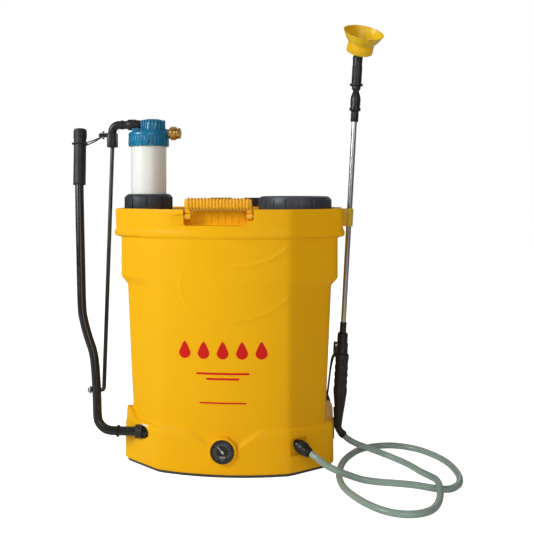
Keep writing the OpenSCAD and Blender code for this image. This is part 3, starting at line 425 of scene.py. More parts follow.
def build_finishes(look):
    """Every material of the sprayer."""
    GROUPS.update(moulded=moulded_group(), metal=metal_group(), woven=woven_group())

    def plastic(name, colour, deep, low=0.3, high=0.42, grain=900.0, depth=0.4, scratches=0.25, dust=0.08,
                cloud=7.0, bump=0.12, **more):
        return finish(name, "moulded", {
            "Colour": colour, "Deep Colour": deep, "Cloud Scale": cloud, "Grain Scale": grain,
            "Grain Depth": depth, "Low Roughness": low, "High Roughness": high,
            "Scratches": scratches, "Dust": dust}, bump, **more)

    y = tuple(look.tank_colour)
    deep = tuple(v * s for v, s in zip(y, (0.97, 0.92, 0.8)))
    plastic("tank_plastic", y, deep, 0.36, 0.5, 700.0, scratches=0.12, dust=0.02, cloud=4.0,
            Specular_IOR_Level=0.16)
    plastic("base_plastic", y, deep, 0.38, 0.52, 700.0, scratches=0.2, dust=0.02, cloud=4.0,
            Specular_IOR_Level=0.16)
    plastic("handle_plastic", (y[0] * 0.98, y[1] * 0.96, y[2]), deep, 0.3, 0.45, 800.0, dust=0.02)
    plastic("hood_plastic", (0.95, 0.62, 0.006), (0.92, 0.55, 0.004), 0.24, 0.36, 800.0, cloud=30.0,
            dust=0.02)
    plastic("clip_plastic", (0.78, 0.55, 0.03), (0.7, 0.47, 0.02), 0.25, 0.4, 500.0, cloud=40.0, dust=0.02,
            Transmission_Weight=0.1)
    plastic("red_print", tuple(look.print_colour), (0.62, 0.012, 0.006), 0.45, 0.6, 1200.0, cloud=60.0,
            bump=0.03, scratches=0.1, dust=0.0, Specular_IOR_Level=0.15)
    dark = tuple(look.lid_colour)
    plastic("lid_plastic", dark, tuple(v * 0.75 for v in dark), 0.34, 0.5, 700.0, dust=0.12)
    plastic("nut_plastic", tuple(v * 0.7 for v in dark), tuple(v * 0.5 for v in dark), 0.3, 0.46, 700.0,
            dust=0.1)
    teal = tuple(look.cap_colour)
    plastic("cap_plastic", teal, tuple(v * 0.8 for v in teal), 0.22, 0.36, 800.0, cloud=25.0, Coat_Weight=0.2)
    plastic("chamber_plastic", (0.9, 0.91, 0.9), (0.87, 0.88, 0.87), 0.22, 0.3, 300.0, 0.1, 0.08, 0.0,
            cloud=9.0, bump=0.02, Subsurface_Weight=0.12, Subsurface_Radius=(0.01, 0.01, 0.01))
    plastic("barrel_plastic", (0.8, 0.8, 0.78), (0.72, 0.72, 0.7), 0.3, 0.4, 500.0)
    black = dict(scratches=0.2, dust=0.03, cloud=20.0, Specular_IOR_Level=0.4)
    plastic("elbow_plastic", (0.011, 0.01, 0.011), (0.016, 0.014, 0.015), 0.28, 0.42, 900.0, **black)
    plastic("nozzle_plastic", (0.01, 0.01, 0.011), (0.016, 0.016, 0.018), 0.22, 0.38, 900.0, **black)
    plastic("valve_plastic", (0.03, 0.03, 0.033), (0.045, 0.045, 0.05), 0.4, 0.55, 700.0, **black)
    plastic("bezel_plastic", (0.016, 0.018, 0.028), (0.026, 0.03, 0.042), 0.25, 0.4, 900.0, **black)
    plastic("tray_plastic", (0.03, 0.028, 0.028), (0.05, 0.047, 0.045), 0.45, 0.62, 500.0, dust=0.12)
    plastic("grip_rubber", (0.01, 0.01, 0.011), (0.016, 0.016, 0.017), 0.45, 0.62, 1100.0, 0.8, dust=0.04,
            bump=0.2)
    plastic("gasket_rubber", (0.015, 0.015, 0.015), (0.03, 0.03, 0.03), 0.6, 0.75, 900.0, bump=0.25)
    plastic("wire_rubber", (0.012, 0.012, 0.012), (0.03, 0.03, 0.03), 0.45, 0.6, 900.0)
    plastic("black_paint", (0.009, 0.009, 0.01), (0.016, 0.016, 0.018), 0.18, 0.32, 300.0, 0.25,
            scratches=0.4, dust=0.03, cloud=14.0, bump=0.04, Coat_Weight=0.1, Coat_Roughness=0.15,
            Specular_IOR_Level=0.4)
    plastic("strainer_plastic", (0.08, 0.08, 0.085), (0.12, 0.12, 0.13), 0.4, 0.6)
    plastic("ball_plastic", (0.75, 0.25, 0.04), (0.6, 0.18, 0.03), 0.25, 0.35)
    plastic("bush_plastic", (0.014, 0.014, 0.015), (0.022, 0.022, 0.024), 0.4, 0.5, dust=0.02)
    plastic("battery_case", (0.08, 0.11, 0.18), (0.05, 0.07, 0.12), 0.35, 0.5)
    plastic("pipe_plastic", (0.62, 0.66, 0.64), (0.5, 0.55, 0.53), 0.2, 0.35, Transmission_Weight=0.3)
    plastic("dial_print", (0.009, 0.01, 0.016), (0.014, 0.015, 0.022), 0.4, 0.5, cloud=60.0, dust=0.0)
    plastic("dial_marks", (0.3, 0.31, 0.34), (0.24, 0.25, 0.28), 0.4, 0.5, cloud=60.0)
    plastic("needle_paint", (0.8, 0.8, 0.8), (0.7, 0.7, 0.7), 0.3, 0.4, cloud=60.0)
    plastic("rocker_plastic", (0.5, 0.02, 0.02), (0.4, 0.01, 0.01), 0.2, 0.35)
    plastic("hose_pvc", tuple(look.hose_colour), tuple(v * 0.82 for v in look.hose_colour), 0.14, 0.26, 300.0,
            0.2, scratches=0.15, dust=0.15, cloud=22.0, bump=0.06, Transmission_Weight=0.35, IOR=1.45)
    plastic("lens_glass", (0.95, 0.96, 0.97), (0.93, 0.94, 0.95), 0.01, 0.03, 300.0, 0.05, 0.02, 0.0,
            bump=0.0, Transmission_Weight=1.0, IOR=1.2)
    for name, c, stain, stretch, amount, low, high in (
            ("brass", (0.6, 0.36, 0.11), (0.3, 0.17, 0.06), (60.0, 900.0, 900.0), 0.3, 0.2, 0.32),
            ("stainless", (0.46, 0.46, 0.46), (0.3, 0.295, 0.285), (1100.0, 1100.0, 9.0), 0.25, 0.14, 0.3),
            ("steel", (0.55, 0.55, 0.56), (0.3, 0.22, 0.16), (700.0, 700.0, 700.0), 0.35, 0.25, 0.45),
            ("motor_can", (0.5, 0.5, 0.51), (0.3, 0.3, 0.3), (20.0, 700.0, 700.0), 0.2, 0.3, 0.45)):
        finish(name, "metal", {"Colour": c, "Stain": stain, "Stretch": stretch, "Stain Amount": amount,
                               "Low Roughness": low, "High Roughness": high}, 0.02, 0.0002, Metallic=1.0)
    finish("pad_fabric", "woven", {"Colour": (0.018, 0.018, 0.02), "Thread Colour": (0.06, 0.06, 0.066),
                                   "Threads Across": 26.0, "Threads Along": 150.0}, 0.5, 0.0005,
                                   Sheen_Weight=0.25)
    finish("web_fabric", "woven", {"Colour": (0.014, 0.014, 0.015), "Thread Colour": (0.05, 0.05, 0.052),
                                   "Threads Across": 14.0, "Threads Along": 120.0}, 0.6, 0.0005,
                                   Sheen_Weight=0.15)
    finish("stitch_thread", "woven", {"Colour": (0.1, 0.1, 0.1), "Thread Colour": (0.16, 0.16, 0.16)},
           0.3, 0.0003, Sheen_Weight=0.1)
    for n, obj in frame["nodes"].items():
        obj.data.materials.clear()
        obj.data.materials.append(FINISHES[SLOTS[n]])


# ---------- geometry nodes ----------

def repeat_tree(name, kind):
    """Copies of a mesh set on points: kind is RING, about an axis through the origin, or ROW, along X."""
    tree = bpy.data.node_groups.new(name, "GeometryNodeTree")
    face = tree.interface
    face.new_socket(name="Geometry", in_out="OUTPUT", socket_type="NodeSocketGeometry")
    for label, kind_of, value in (("Unit", "NodeSocketObject", None), ("Count", "NodeSocketInt", 24),
                                  ("Radius", "NodeSocketFloat", 0.05), ("Spacing", "NodeSocketFloat", 0.006),
                                  ("Start Angle", "NodeSocketFloat", 0.0),
                                  ("Sweep", "NodeSocketFloat", 2 * math.pi)):
        s = face.new_socket(name=label, in_out="INPUT", socket_type=kind_of)
        if value is not None:
            s.default_value = value
    i = tree.nodes.new("NodeGroupInput").outputs
    go = tree.nodes.new("NodeGroupOutput")
    line = node(tree, "GeometryNodeMeshLine", {"Offset": (0, 0, 0)}, {"Count": i["Count"]})
    index = node(tree, "GeometryNodeInputIndex").outputs[0]
    turns = {}
    if kind == "RING":
        step = math_node(tree, "DIVIDE", i["Sweep"], i["Count"])
        angle = math_node(tree, "MULTIPLY_ADD", index, step, i["Start Angle"])
        turns["Rotation"] = node(tree, "CombineXYZ", links={2: angle}).outputs[0]
        reach = node(tree, "CombineXYZ", links={0: i["Radius"]}).outputs[0]
        spot = node(tree, "VectorRotate", links={"Vector": reach, "Angle": angle}, rotation_type="Z_AXIS")
    else:
        spot = node(tree, "CombineXYZ", links={0: math_node(tree, "MULTIPLY", index, i["Spacing"])})
    put = node(tree, "GeometryNodeSetPosition", links={"Geometry": line.outputs[0],
                                                       "Position": spot.outputs[0]})
    unit = node(tree, "GeometryNodeObjectInfo", links={"Object": i["Unit"]})
    copies = node(tree, "GeometryNodeInstanceOnPoints",
                  links={"Points": put.outputs[0], "Instance": unit.outputs["Geometry"], **turns})
    real = node(tree, "GeometryNodeRealizeInstances", links={0: copies.outputs[0]})
    tree.links.new(real.outputs[0], go.inputs[0])
    return tree


TREES = {}


def repeated(unit, kind, place, **inputs):
    """Runs a repeat tree on a unit shape and returns the mesh data in millimetres, placed."""
    if kind not in TREES:
        TREES[kind] = repeat_tree("repeat_" + kind.lower(), kind)
    tree = TREES[kind]
    mesh = bpy.data.meshes.new("repeat")
    obj = bpy.data.objects.new("repeat", mesh)
    bpy.context.scene.collection.objects.link(obj)
    m = obj.modifiers.new("repeat", "NODES")
    m.node_group = tree
    ids = {s.name: s.identifier for s in tree.interface.items_tree if s.in_out == "INPUT"}
    m[ids["Unit"]] = unit
    for k, v in inputs.items():
        m[ids[k.replace("_", " ")]] = v
    bake_modifiers(obj)
    mesh = obj.data
    verts = [place @ (v.co / MM) for v in mesh.vertices]
    faces = [list(p.vertices) for p in mesh.polygons]
    bpy.data.objects.remove(obj)
    bpy.data.objects.remove(unit)
    return verts, faces


def ring_of(shape, unit, place, count, radius, start=0.0, sweep=2 * math.pi):
    """Adds copies of a unit shape round an axis to a shape. Radius in millimetres, angles in radians."""
    shape.add(*repeated(unit.make("unit"), "RING", place, Count=count, Radius=radius * MM, Start_Angle=start,
                        Sweep=sweep))


def row_of(shape, unit, place, count, spacing):
    """Adds copies of a unit shape in a row along X to a shape."""
    shape.add(*repeated(unit.make("unit"), "ROW", place, Count=count, Spacing=spacing * MM))


# ---------- the tank's outline ----------

def tank_values():
    """The tank's front and back, in Y."""
    low, high = span("tank_shell")
    return {"front": low.y + 3, "back": high.y - 3}


FRONT_BOW, FRONT_W, BACK_R, FACET_RUN, AROUND = 15.0, 228.0, 26.0, 67, 320
BASE_TOP, TANK_TOP, DECK_Z, NECK_BASE = 76.0, 455.0, 452, 448
NECKS = (("fill_lid", 108, 4), ("pump_ring_nut", 72, 2.5))
GAUGE_Z, SHAFT_Y, SHAFT_Z = 45, -70, 61
HANDLE_Y, HANDLE_PIVOT = -99.93, 443.0
POCKET_Y = -115.93


def outline(width, inset=0.0, soft=5.0):
    """Plan outline of the tank at one height, evenly spaced from the front's middle, corners softened."""
    t = tank_values()
    side = t["front"] + FACET_RUN
    half, fw = width / 2 - inset, FRONT_W / 2 - 0.32 * inset
    yf, ys, yb = t["front"] + FRONT_BOW + inset, side + 0.515 * inset, t["back"] - inset
    r = max(BACK_R - inset, 2.0)
    br = (fw * fw + FRONT_BOW ** 2) / (2 * FRONT_BOW)
    ba = math.asin(fw / br)
    pts = [(br * math.sin(ba * k / 24), yf - FRONT_BOW + br - br * math.cos(ba * k / 24)) for k in range(25)]
    pts.append((half, ys))
    pts += [(half - r + r * math.cos(a), yb - r + r * math.sin(a)) for a in np.linspace(0, math.pi / 2, 10)]
    pts.append((0.0, yb))
    p = np.array(pts)
    d = np.concatenate([[0], np.cumsum(np.linalg.norm(np.diff(p, axis=0), axis=1))])
    s = np.linspace(0, d[-1], AROUND // 2 + 1)
    half_run = np.stack([np.interp(s, d, p[:, 0]), np.interp(s, d, p[:, 1])], axis=1)
    mirror = half_run[1:-1][::-1] * [-1, 1]
    loop = np.concatenate([half_run, mirror])
    step = d[-1] / (AROUND // 2)
    reach = int(3 * soft / step) + 1
    w = np.exp(-0.5 * (np.arange(-reach, reach + 1) * step / soft) ** 2)
    w /= w.sum()
    return sum(np.roll(loop, k, axis=0) * w[k + reach] for k in range(-reach, reach + 1))


def prism(name, width, inset, *heights):
    """A straight block with the tank's plan outline between two heights."""
    return Shape().loft([[(x, y, z) for x, y in outline(width, inset)] for z in heights]).make(name)


def profile_rows(points, step, soft):
    """Resamples (height, width, inset) points and softens their corners."""
    p = np.array(points, dtype=float)
    key = np.stack([p[:, 0], p[:, 1] / 2 - p[:, 2]], axis=1)
    d = np.concatenate([[0], np.cumsum(np.linalg.norm(np.diff(key, axis=0), axis=1) + 1e-6)])
    n = int(d[-1] / step)
    s = np.linspace(0, d[-1], n + 1)
    rows = np.stack([np.interp(s, d, p[:, k]) for k in range(3)], axis=1)
    reach = int(3 * soft / step) + 1
    w = np.exp(-0.5 * (np.arange(-reach, reach + 1) * step / soft) ** 2)
    w /= w.sum()
    padded = np.concatenate([2 * rows[0] - rows[reach:0:-1], rows, 2 * rows[-1] - rows[-2:-reach - 2:-1]])
    return np.stack([np.convolve(padded[:, k], w, mode="valid") for k in range(3)], axis=1)


DIP = ((-59.0, -26.0), (64.0, 30.0), 76.0, 52.0)


def dip_mask(x, z):
    """How much the front is set back above the gauge: a V between the ledge's two ends."""
    (l0, l1), (r0, r1), top, low = DIP
    k = (top - z) / (top - low)
    left, right = l0 + (l1 - l0) * k, r0 + (r1 - r0) * k
    return ease((x - left) / 7) * ease((right - x) / 7) if z > 30 else 0.0


def raised_left(x, y):
    """The ledge climbs over the lever shaft's boss on the left."""
    d = math.hypot(x + 190, y + 42)
    return 18 * ease(1.0 - (d - 12) / 24) if x < 0 else 0.0


FRONT_RIDGE = [(-72, 346), (-74, 311), (-60, 284), (-29, 269), (20, 265), (52, 269), (80, 281), (112, 303)]
FRONT_SWIRL = [(-30, 362), (10, 357), (50, 360), (84, 371), (108, 388)]
FACET_RIDGE = [(-191, 396), (-178, 399), (-160, 399), (-148, 395), (-140, 386)]


def near_line(x, z, line):
    """Distance from a point on the front to a line of points."""
    best = 1e9
    for (ax, az), (bx, bz) in zip(line, line[1:]):
        vx, vz = bx - ax, bz - az
        k = max(0.0, min(1.0, ((x - ax) * vx + (z - az) * vz) / (vx * vx + vz * vz)))
        best = min(best, math.hypot(x - ax - k * vx, z - az - k * vz))
    return best


class SpraySizes(bpy.types.PropertyGroup):
    """Sizes and colours a user may change."""
    tank_colour: bpy.props.FloatVectorProperty(
        name="Tank colour", description="Yellow of the tank and base", subtype="COLOR",
        default=(0.94, 0.49, 0.001))
    lid_colour: bpy.props.FloatVectorProperty(
        name="Lid colour", description="Slate of the lid and the ring nut", subtype="COLOR",
        default=(0.04, 0.052, 0.078))
    cap_colour: bpy.props.FloatVectorProperty(
        name="Cap colour", description="Blue of the pump cap", subtype="COLOR", default=(0.002, 0.2, 0.4))
    hose_colour: bpy.props.FloatVectorProperty(
        name="Hose colour", description="Tint of the hose", subtype="COLOR", default=(0.42, 0.56, 0.51))
    print_colour: bpy.props.FloatVectorProperty(
        name="Print colour", description="Colour of the drops on the front", subtype="COLOR",
        default=(0.68, 0.012, 0.008))
    lid_ribs: bpy.props.IntProperty(
        name="Lid ribs", description="Raised ribs round the fill lid", default=18, min=6, max=48)
    nut_ribs: bpy.props.IntProperty(
        name="Nut ribs", description="Raised ribs round the pump's ring nut", default=10, min=6, max=36)
    handle_ribs: bpy.props.IntProperty(
        name="Handle ribs", description="Ribs across the carry handle", default=19, min=6, max=30)
    grip_ribs: bpy.props.IntProperty(
        name="Grip ribs", description="Ribs up the lever grip's lower half", default=22, min=6, max=40)
    drop_height: bpy.props.FloatProperty(
        name="Drop height", description="Height of the printed drops", default=0.030, unit="LENGTH")
    hose_diameter: bpy.props.FloatProperty(
        name="Hose diameter", description="Outside diameter of the hose", default=0.011, unit="LENGTH")


def sizes():
    """The values of the panel."""
    return bpy.context.scene.sprayer


def operator(idname, label, doc):
    """Class decorator: one button of the panel."""
    def wrap(work):
        def execute(self, context):
            work(sizes())
            return {"FINISHED"}
        name = "SPRAYER_OT_" + idname
        return type(name, (bpy.types.Operator,), {
            "__doc__": doc, "bl_idname": "sprayer." + idname, "bl_label": label,
            "bl_options": {"REGISTER", "UNDO"}, "execute": execute})
    return wrap


# ---------- stage ----------

EYE, HEADING, LENS, SHIFT = (0.1745, -1.3, 0.488), 4.75, 47.73, -0.144


@operator("stage", "Stage", "Camera, floor, backdrop light and lamps")
def make_stage(look):
    cam = bpy.data.objects.new("camera", bpy.data.cameras.new("camera"))
    cam.data.sensor_width = 36.0
    cam.data.lens, cam.data.shift_y = LENS, SHIFT
    cam.data.clip_start, cam.data.clip_end = 0.01, 50.0
    cam.location = EYE
    cam.rotation_euler = (math.radians(90), 0, math.radians(HEADING))
    scene = bpy.context.scene
    scene.collection.objects.link(cam)
    scene.camera = cam
    scene.view_settings.view_transform = "Standard"
    floor = Shape().block((18000, 18000, 2), (0, 0, -1.5), 0)
    paper = bpy.data.materials.new("stage_paper")
    paper.use_nodes = True
    tree = paper.node_tree
    bsdf = tree.nodes["Principled BSDF"]
    grain = node(tree, "TexNoise", {"Scale": 40.0, "Detail": 5.0},
                 {"Vector": node(tree, "TexCoord").outputs["Object"]})
    tone = mix_colour(tree, grain.outputs[0], (0.86, 0.86, 0.86, 1), (0.9, 0.9, 0.9, 1))
    tree.links.new(tone, bsdf.inputs["Base Color"])
    bsdf.inputs["Roughness"].default_value = 0.9
    bsdf.inputs["Emission Color"].default_value = (1, 1, 1, 1)
    seen_only = node(tree, "LightPath").outputs["Is Camera Ray"]
    tree.links.new(math_node(tree, "MULTIPLY", seen_only, 0.88), bsdf.inputs["Emission Strength"])
    ground = floor.make("stage_floor", paper)
    world = bpy.data.worlds.new("studio") if not scene.world else scene.world
    scene.world = world
    world.use_nodes = True
    t = world.node_tree
    t.nodes.clear()
    seen, lit = (node(t, "Background", {0: (1, 1, 1, 1), 1: strength}).outputs[0] for strength in (1.0, 0.14))
    is_seen = node(t, "LightPath").outputs["Is Camera Ray"]
    mix = node(t, "MixShader", links={0: is_seen, 1: lit, 2: seen})
    node(t, "OutputWorld", links={0: mix.outputs[0]})
    for name, power, size, tint, spot, aim in (
            ("key", 46.0, 1.1, (0.95, 1.0, 0.94), (-1.9, -1.5, 1.35), (0.0, 0.0, 0.3)),
            ("front", 19.0, 1.6, (1.0, 0.9, 0.84), (0.9, -2.5, 1.3), (0.0, 0.0, 0.25)),
            ("top", 4.0, 1.5, (1.0, 1.0, 1.0), (-0.2, 0.6, 2.3), (0.0, 0.0, 0.3)),
            ("back", 5.0, 1.4, (1.0, 1.0, 1.0), (0.9, 2.3, 1.2), (0.0, 0.0, 0.3))):
        lamp = bpy.data.objects.new(name, bpy.data.lights.new(name, "AREA"))
        lamp.data.energy, lamp.data.size, lamp.data.color = power, size, tint
        lamp.location = spot
        lamp.rotation_euler = (Vector(aim) - Vector(spot)).to_track_quat("-Z", "Y").to_euler()
        scene.collection.objects.link(lamp)


# ---------- hose ----------

HOSE = [(150, -106, 44), (160, -114, 40), (176, -121, 31), (194, -122, 23), (214, -119, 15),
        (236, -117, 8), (262, -118, 5.5), (292, -121, 5.5), (322, -126, 5.5), (350, -136, 5.5),
        (372, -137, 5.5), (389, -121, 5.5), (397, -98, 5.5), (398, -68, 5.5), (391, -30, 5.5),
        (376, 2, 5.5), (352, 31, 5.5), (326, 47, 5.5), (298, 53, 5.5), (266, 46, 5.5),
        (238, 27, 5.5), (219, -2, 5.5), (206, -34, 5.5), (199, -70, 5.5), (197, -106, 5.5),
        (203, -142, 5.5), (217, -173, 5.5), (236, -200, 5.5), (258, -221, 5.5), (280, -231, 5.5),
        (301, -232, 5.5), (321, -225, 5.5), (338, -209, 5.5), (350, -184, 8), (355, -158, 14.5),
        (354, -132, 17.2), (348, -104, 12), (337, -72, 6.5), (319, -38, 5.5), (297, -15, 7),
        (274, -3, 11.5), (252, 5, 16.5), (232, 9, 22), (215, 10, 30.5), (203.5, 10, 41)]


@operator("hose", "Hose", "The hose from the outlet to the trigger valve, lying on the floor")
def make_hose(look):
    path = [p * MM for p in spline(HOSE, 6)]
    d = look.hose_diameter
    s = Shape()
    s.tube([p / MM for p in path], d / 2 / MM, 20)
    obj = s.make("spray_hose", FINISHES["hose_pvc"])
    place_piece(obj, "hose_run")


# ---------- tank and base ----------

@operator("tank", "Tank", "The tank with its rim, deck, necks, hand pocket and embossed lines")
def make_tank(look):
    z0, top = BASE_TOP, TANK_TOP
    rows = profile_rows([(z0, 374, 1), (77.5, 374, 1), (80, 357, 3.8), (92, 356.3, 4), (319, 370, 1),
                         (332, 391, 0), (404, 391, 0), (406.5, 408, -2), (409, 410, -3), (415, 410, -3),
                         (418, 407, -1.6), (452, 408.5, -2.2), (455, 406, -1)], 2.2, 1.4)
    waist = outline(356, 4)
    rings = []
    for z, w, inset in rows:
        z = min(max(z, z0), top)
        ring = []
        for (x, y), (wx, wy) in zip(outline(w, inset), waist):
            zz = z
            if z < 150 and x < -110:
                lift = raised_left(x, y)
                zz = z0 + (z - z0) * 2 if z < 77 else z
                zz = z + lift * ease((z - z0) / 1.5) * (1 - ease((z - 86) / 60))
            if z < 88 and y < -90:
                k = dip_mask(x, max(z, 76.0)) if z < 80.5 else 0.0
                x, y = x + (wx - x) * k, y + (wy - y) * k
            if y < -60 and 250 < z < 402:
                d = min(near_line(x, z, FRONT_RIDGE), near_line(x, z, FRONT_SWIRL)) if y < -94 else \
                    near_line(x, z, FACET_RIDGE) if x < 0 else 99
                y -= (0.9 if y < -94 else 1.6) * ease(1 - d / 4.5)
            ring.append((x, y, zz))
        rings.append(ring)
    body = Shape().loft(rings).make("tank_body", FINISHES["tank_plastic"])

    inner_rows = [(88, 356, 8), (319, 370, 5), (332, 391, 4.5), (447.5, 391, 4.5)]
    inner = Shape().loft([[(x, y, z) for x, y in outline(w, i)] for z, w, i in inner_rows]).make("inner")
    deck = prism("deck", 389, 4, DECK_Z, 470)
    carve(inner, [Shape().block((176, 58, 60), (-18, -111, 453), 0).make("pocket_room")])
    carve(body, [inner, deck])
    necks, holes = [], []
    for node_name, bore, wall in NECKS:
        c, r = middle(node_name), bore / 2
        prof = [(r + wall, NECK_BASE), (r + wall, 465), (r + wall - 1, 466)]
        necks.append(Shape().turned(prof, at(c.x, c.y), 96).make("neck"))
        holes.append(Shape().turned([(r, 430), (r, 480)], at(c.x, c.y), 96).make("hole"))
    carve(body, necks, "UNION")
    pocket = [Shape().block(size, centre, soft, steps=steps).make("pocket") for size, centre, soft, steps in (
        ((110.5, 60, 80), (-13.25, POCKET_Y, 467), 5, 4), ((13, 60, 60), (46.5, POCKET_Y, 466), 2.5, 3),
        ((46, 60, 20), (-77, POCKET_Y - 18, 437), 6, 4))]
    carve(body, holes + pocket)
    ribs = Shape()
    for k in range(9):
        ribs.block((1.5, 2.4, 25), (-60 + 12 * k, -85.9, 439.5), 0.5)
    carve(body, [ribs.make("pocket_ribs")], "UNION")
    slots = []
    for s in (-1, 1):
        slots.append(Shape().block((5.25, 112, 44), (s * 199.2, 20, 426), 1.5).make("side_slot"))
        slots.append(Shape().block((5.0, 16, 26), (0, 0, 0), 1.6, at(s * 196, -71.5, 435, (0, 0, s * 31)))
                     .make("end_slot"))
    pins = [Shape().turned([(3, 0), (3, 14)], at(x, HANDLE_Y, HANDLE_PIVOT, (0, 90, 0)), 24).make("pin_hole")
            for x in (-78, 50)]
    carve(body, slots + pins)
    soften(body, 28, merge=True)
    place_piece(body, "tank_shell")


def outlet_place():
    """From the outlet's own axis, along Z, to the sprayer."""
    return at(127, tank_values()["front"] + 26, 52, (0, 108, -40))


@operator("base", "Base", "The base cover with its gauge ring, outlet recess and shaft hole")
def make_base(look):
    waist = outline(356, 4)
    rows = profile_rows([(5.2, 374, 1), (7.2, 376, 0), (12, 376, 0), (70, 375.5, 0.2), (BASE_TOP, 374, 1)],
                        2.2, 1.0)
    rings = []
    for z, w, inset in rows:
        z = min(max(z, 5.2), BASE_TOP)
        ring = []
        for (x, y), (wx, wy) in zip(outline(w, inset), waist):
            if y < -85:
                k = dip_mask(x, z)
                x, y = x + (wx - x) * k, y + (wy - y) * k
            ring.append((x, y, z))
        rings.append(ring)
    body = Shape().loft(rings).make("base_cover", FINISHES["base_plastic"])
    inner = prism("inner", 372, 6.5, -5, 90)
    carve(body, [inner])
    front = tank_values()["front"]
    gauge = at(0, front, GAUGE_Z, (90, 0, 0))
    boss = Shape().turned([(20.5, -14), (24.6, -12), (24.4, 1.0), (23.7, 2.2), (22.2, 2.9), (20.8, 2.7),
                           (20.0, 1.4), (19.3, -14)], gauge, 80, loop=True).make("boss")
    plug = Shape().turned([(23, -13), (23, 0.8)], gauge, 64).make("plug")
    pocket_place = at(127, front + 26, 34, (0, 0, -54))
    wall = Shape().block((38, 39, 38), (14, 0, 15), 1.5, pocket_place).make("pocket_wall")
    shell = prism("shell", 375, 0.8, 6, 75.5)
    carve(wall, [shell], "INTERSECT")
    collar = Shape().turned([(17, 0), (17, 55)], at(-150, SHAFT_Y, SHAFT_Z, (0, 90, 0)), 48).make("collar")
    shell2 = prism("shell2", 375, 0.6, 6, 75.6)
    carve(collar, [shell2], "INTERSECT")
    carve(body, [plug, wall, collar], "UNION")
    cuts = [Shape().turned([(19.2, -60), (19.2, 40)], gauge, 64).make("gauge_hole"),
            Shape().turned([(12.0, 0), (12.0, 130)], at(-200, SHAFT_Y, SHAFT_Z, (0, 90, 0)),
                           48).make("shaft_hole"),
            Shape().block((40, 32, 30), (17, 0, 15), 4, pocket_place, steps=3).make("recess"),
            Shape().turned([(7, -30), (7, 10)], outlet_place(), 32).make("outlet_hole"),
            Shape().block((22, 27, 19), (189, 31.5, 39.5), 0.6).make("switch_hole"),
            Shape().turned([(8, 0), (8, 22)], at(176, 72, 39, (0, 90, 0)), 32).make("socket_hole")]
    carve(body, cuts)
    carve(body, [boss], "UNION")
    soften(body, 28, merge=True)
    place_piece(body, "base_housing")


def front_y(x, z):
    """Y of the tank's front face at a point."""
    w, inset = 356 + (z - 84) / 235 * 14, 4 - (z - 84) / 235 * 3
    ring = outline(w, inset)
    ring = ring[ring[:, 1] < -80]
    ring = ring[np.argsort(ring[:, 0])]
    return float(np.interp(x, ring[:, 0], ring[:, 1]))


@operator("drops", "Printed drops", "A row of printed water drops with a line under it")
def make_drops(look):
    h = look.drop_height / MM
    s = Shape()

    def stamp(points, cx, cz):
        """A thin closed plate that follows the front."""
        n = len(points)
        mid = (sum(p[0] for p in points) / n, sum(p[1] for p in points) / n)
        verts, faces, levels = [], [], 5
        for depth in (0.35, -0.3):
            for k in range(levels):
                f = 1 - k / levels
                for px, pz in points:
                    x, z = cx + mid[0] + (px - mid[0]) * f, cz + mid[1] + (pz - mid[1]) * f
                    verts.append((x, row_y(x, z) - depth, z))
            x, z = cx + mid[0], cz + mid[1]
            verts.append((x, row_y(x, z) - depth, z))
        side = levels * n + 1
        for b, flip in ((0, 1), (side, 0)):
            for k in range(levels - 1):
                for i in range(n):
                    j = (i + 1) % n
                    q = [b + k * n + i, b + k * n + j, b + (k + 1) * n + j, b + (k + 1) * n + i]
                    faces.append(q if flip else q[::-1])
            for i in range(n):
                q = [b + (levels - 1) * n + i, b + (levels - 1) * n + (i + 1) % n, b + levels * n]
                faces.append(q if flip else q[::-1])
        faces += [[i, side + i, side + (i + 1) % n, (i + 1) % n] for i in range(n)]
        s.add(verts, faces)

    low_row = {z: [front_y(x, z) for x in range(-100, 101, 5)] for z in range(110, 271, 10)}

    def row_y(x, z):
        k = min(max(z, 110), 269.9)
        a = int((k - 110) // 10) * 10 + 110
        f = (k - a) / 10
        xs = np.arange(-100, 101, 5)
        return float(np.interp(x, xs, low_row[a]) * (1 - f) + np.interp(x, xs, low_row[a + 10]) * f)

    drop = []
    for k in range(40):
        a = 2 * math.pi * k / 40
        r = h * 0.34
        x, z = r * math.sin(a), -r * math.cos(a)
        if z > 0:
            x *= (1 - (z / r) * 0.55)
            z *= 1.9
        drop.append((x, z))
    for i in range(5):
        stamp(drop, -66 + 33 * i, 211)
    for cx, cz, w, t in ((0, 176, 88, 3.4), (0, 167, 54, 3.4), (0, 126, 78, 2.6)):
        pts = []
        for sx, a0 in ((1, -90), (-1, 90)):
            for k in range(9):
                a = math.radians(a0 + 180 * k / 8)
                pts.append((sx * w / 2 + t / 2 * math.cos(a), t / 2 * math.sin(a)))
        dense = []
        for p, q in zip(pts, pts[1:] + pts[:1]):
            m = max(1, int(math.dist(p, q) / 4))
            dense += [(p[0] + (q[0] - p[0]) * k / m, p[1] + (q[1] - p[1]) * k / m) for k in range(m)]
        stamp(dense, cx, cz)
    place_piece(s.make("front_print", FINISHES["red_print"], angle=60), body="tank", slot="rocker_plastic")


@operator("tray", "Foot tray", "The dark tray under the base")
def make_tray(look):
    rows = profile_rows([(0.2, 371, 2.5), (1.8, 372, 2), (5.0, 372, 2)], 1.0, 0.5)
    s = Shape().loft([[(x, y, max(z, 0.0)) for x, y in outline(w, i)] for z, w, i in rows])
    tray = s.make("foot_tray", FINISHES["tray_plastic"])
    carve(tray, [prism("lip", 376, 6.7, 4, 11.8)], "UNION")
    holes = [prism("hollow", 376, 9.5, 3, 20)]
    for s_ in (-1, 1):
        for x, y in ((180, -30), (180, 62), (62, -99.13)):
            holes.append(Shape().turned([(4.5, -2), (4.5, 3.4)], at(s_ * x, y), 24).make("screw_seat"))
    carve(tray, holes)
    place_piece(tray, "base_tray")


# ---------- lid, nut, handle ----------

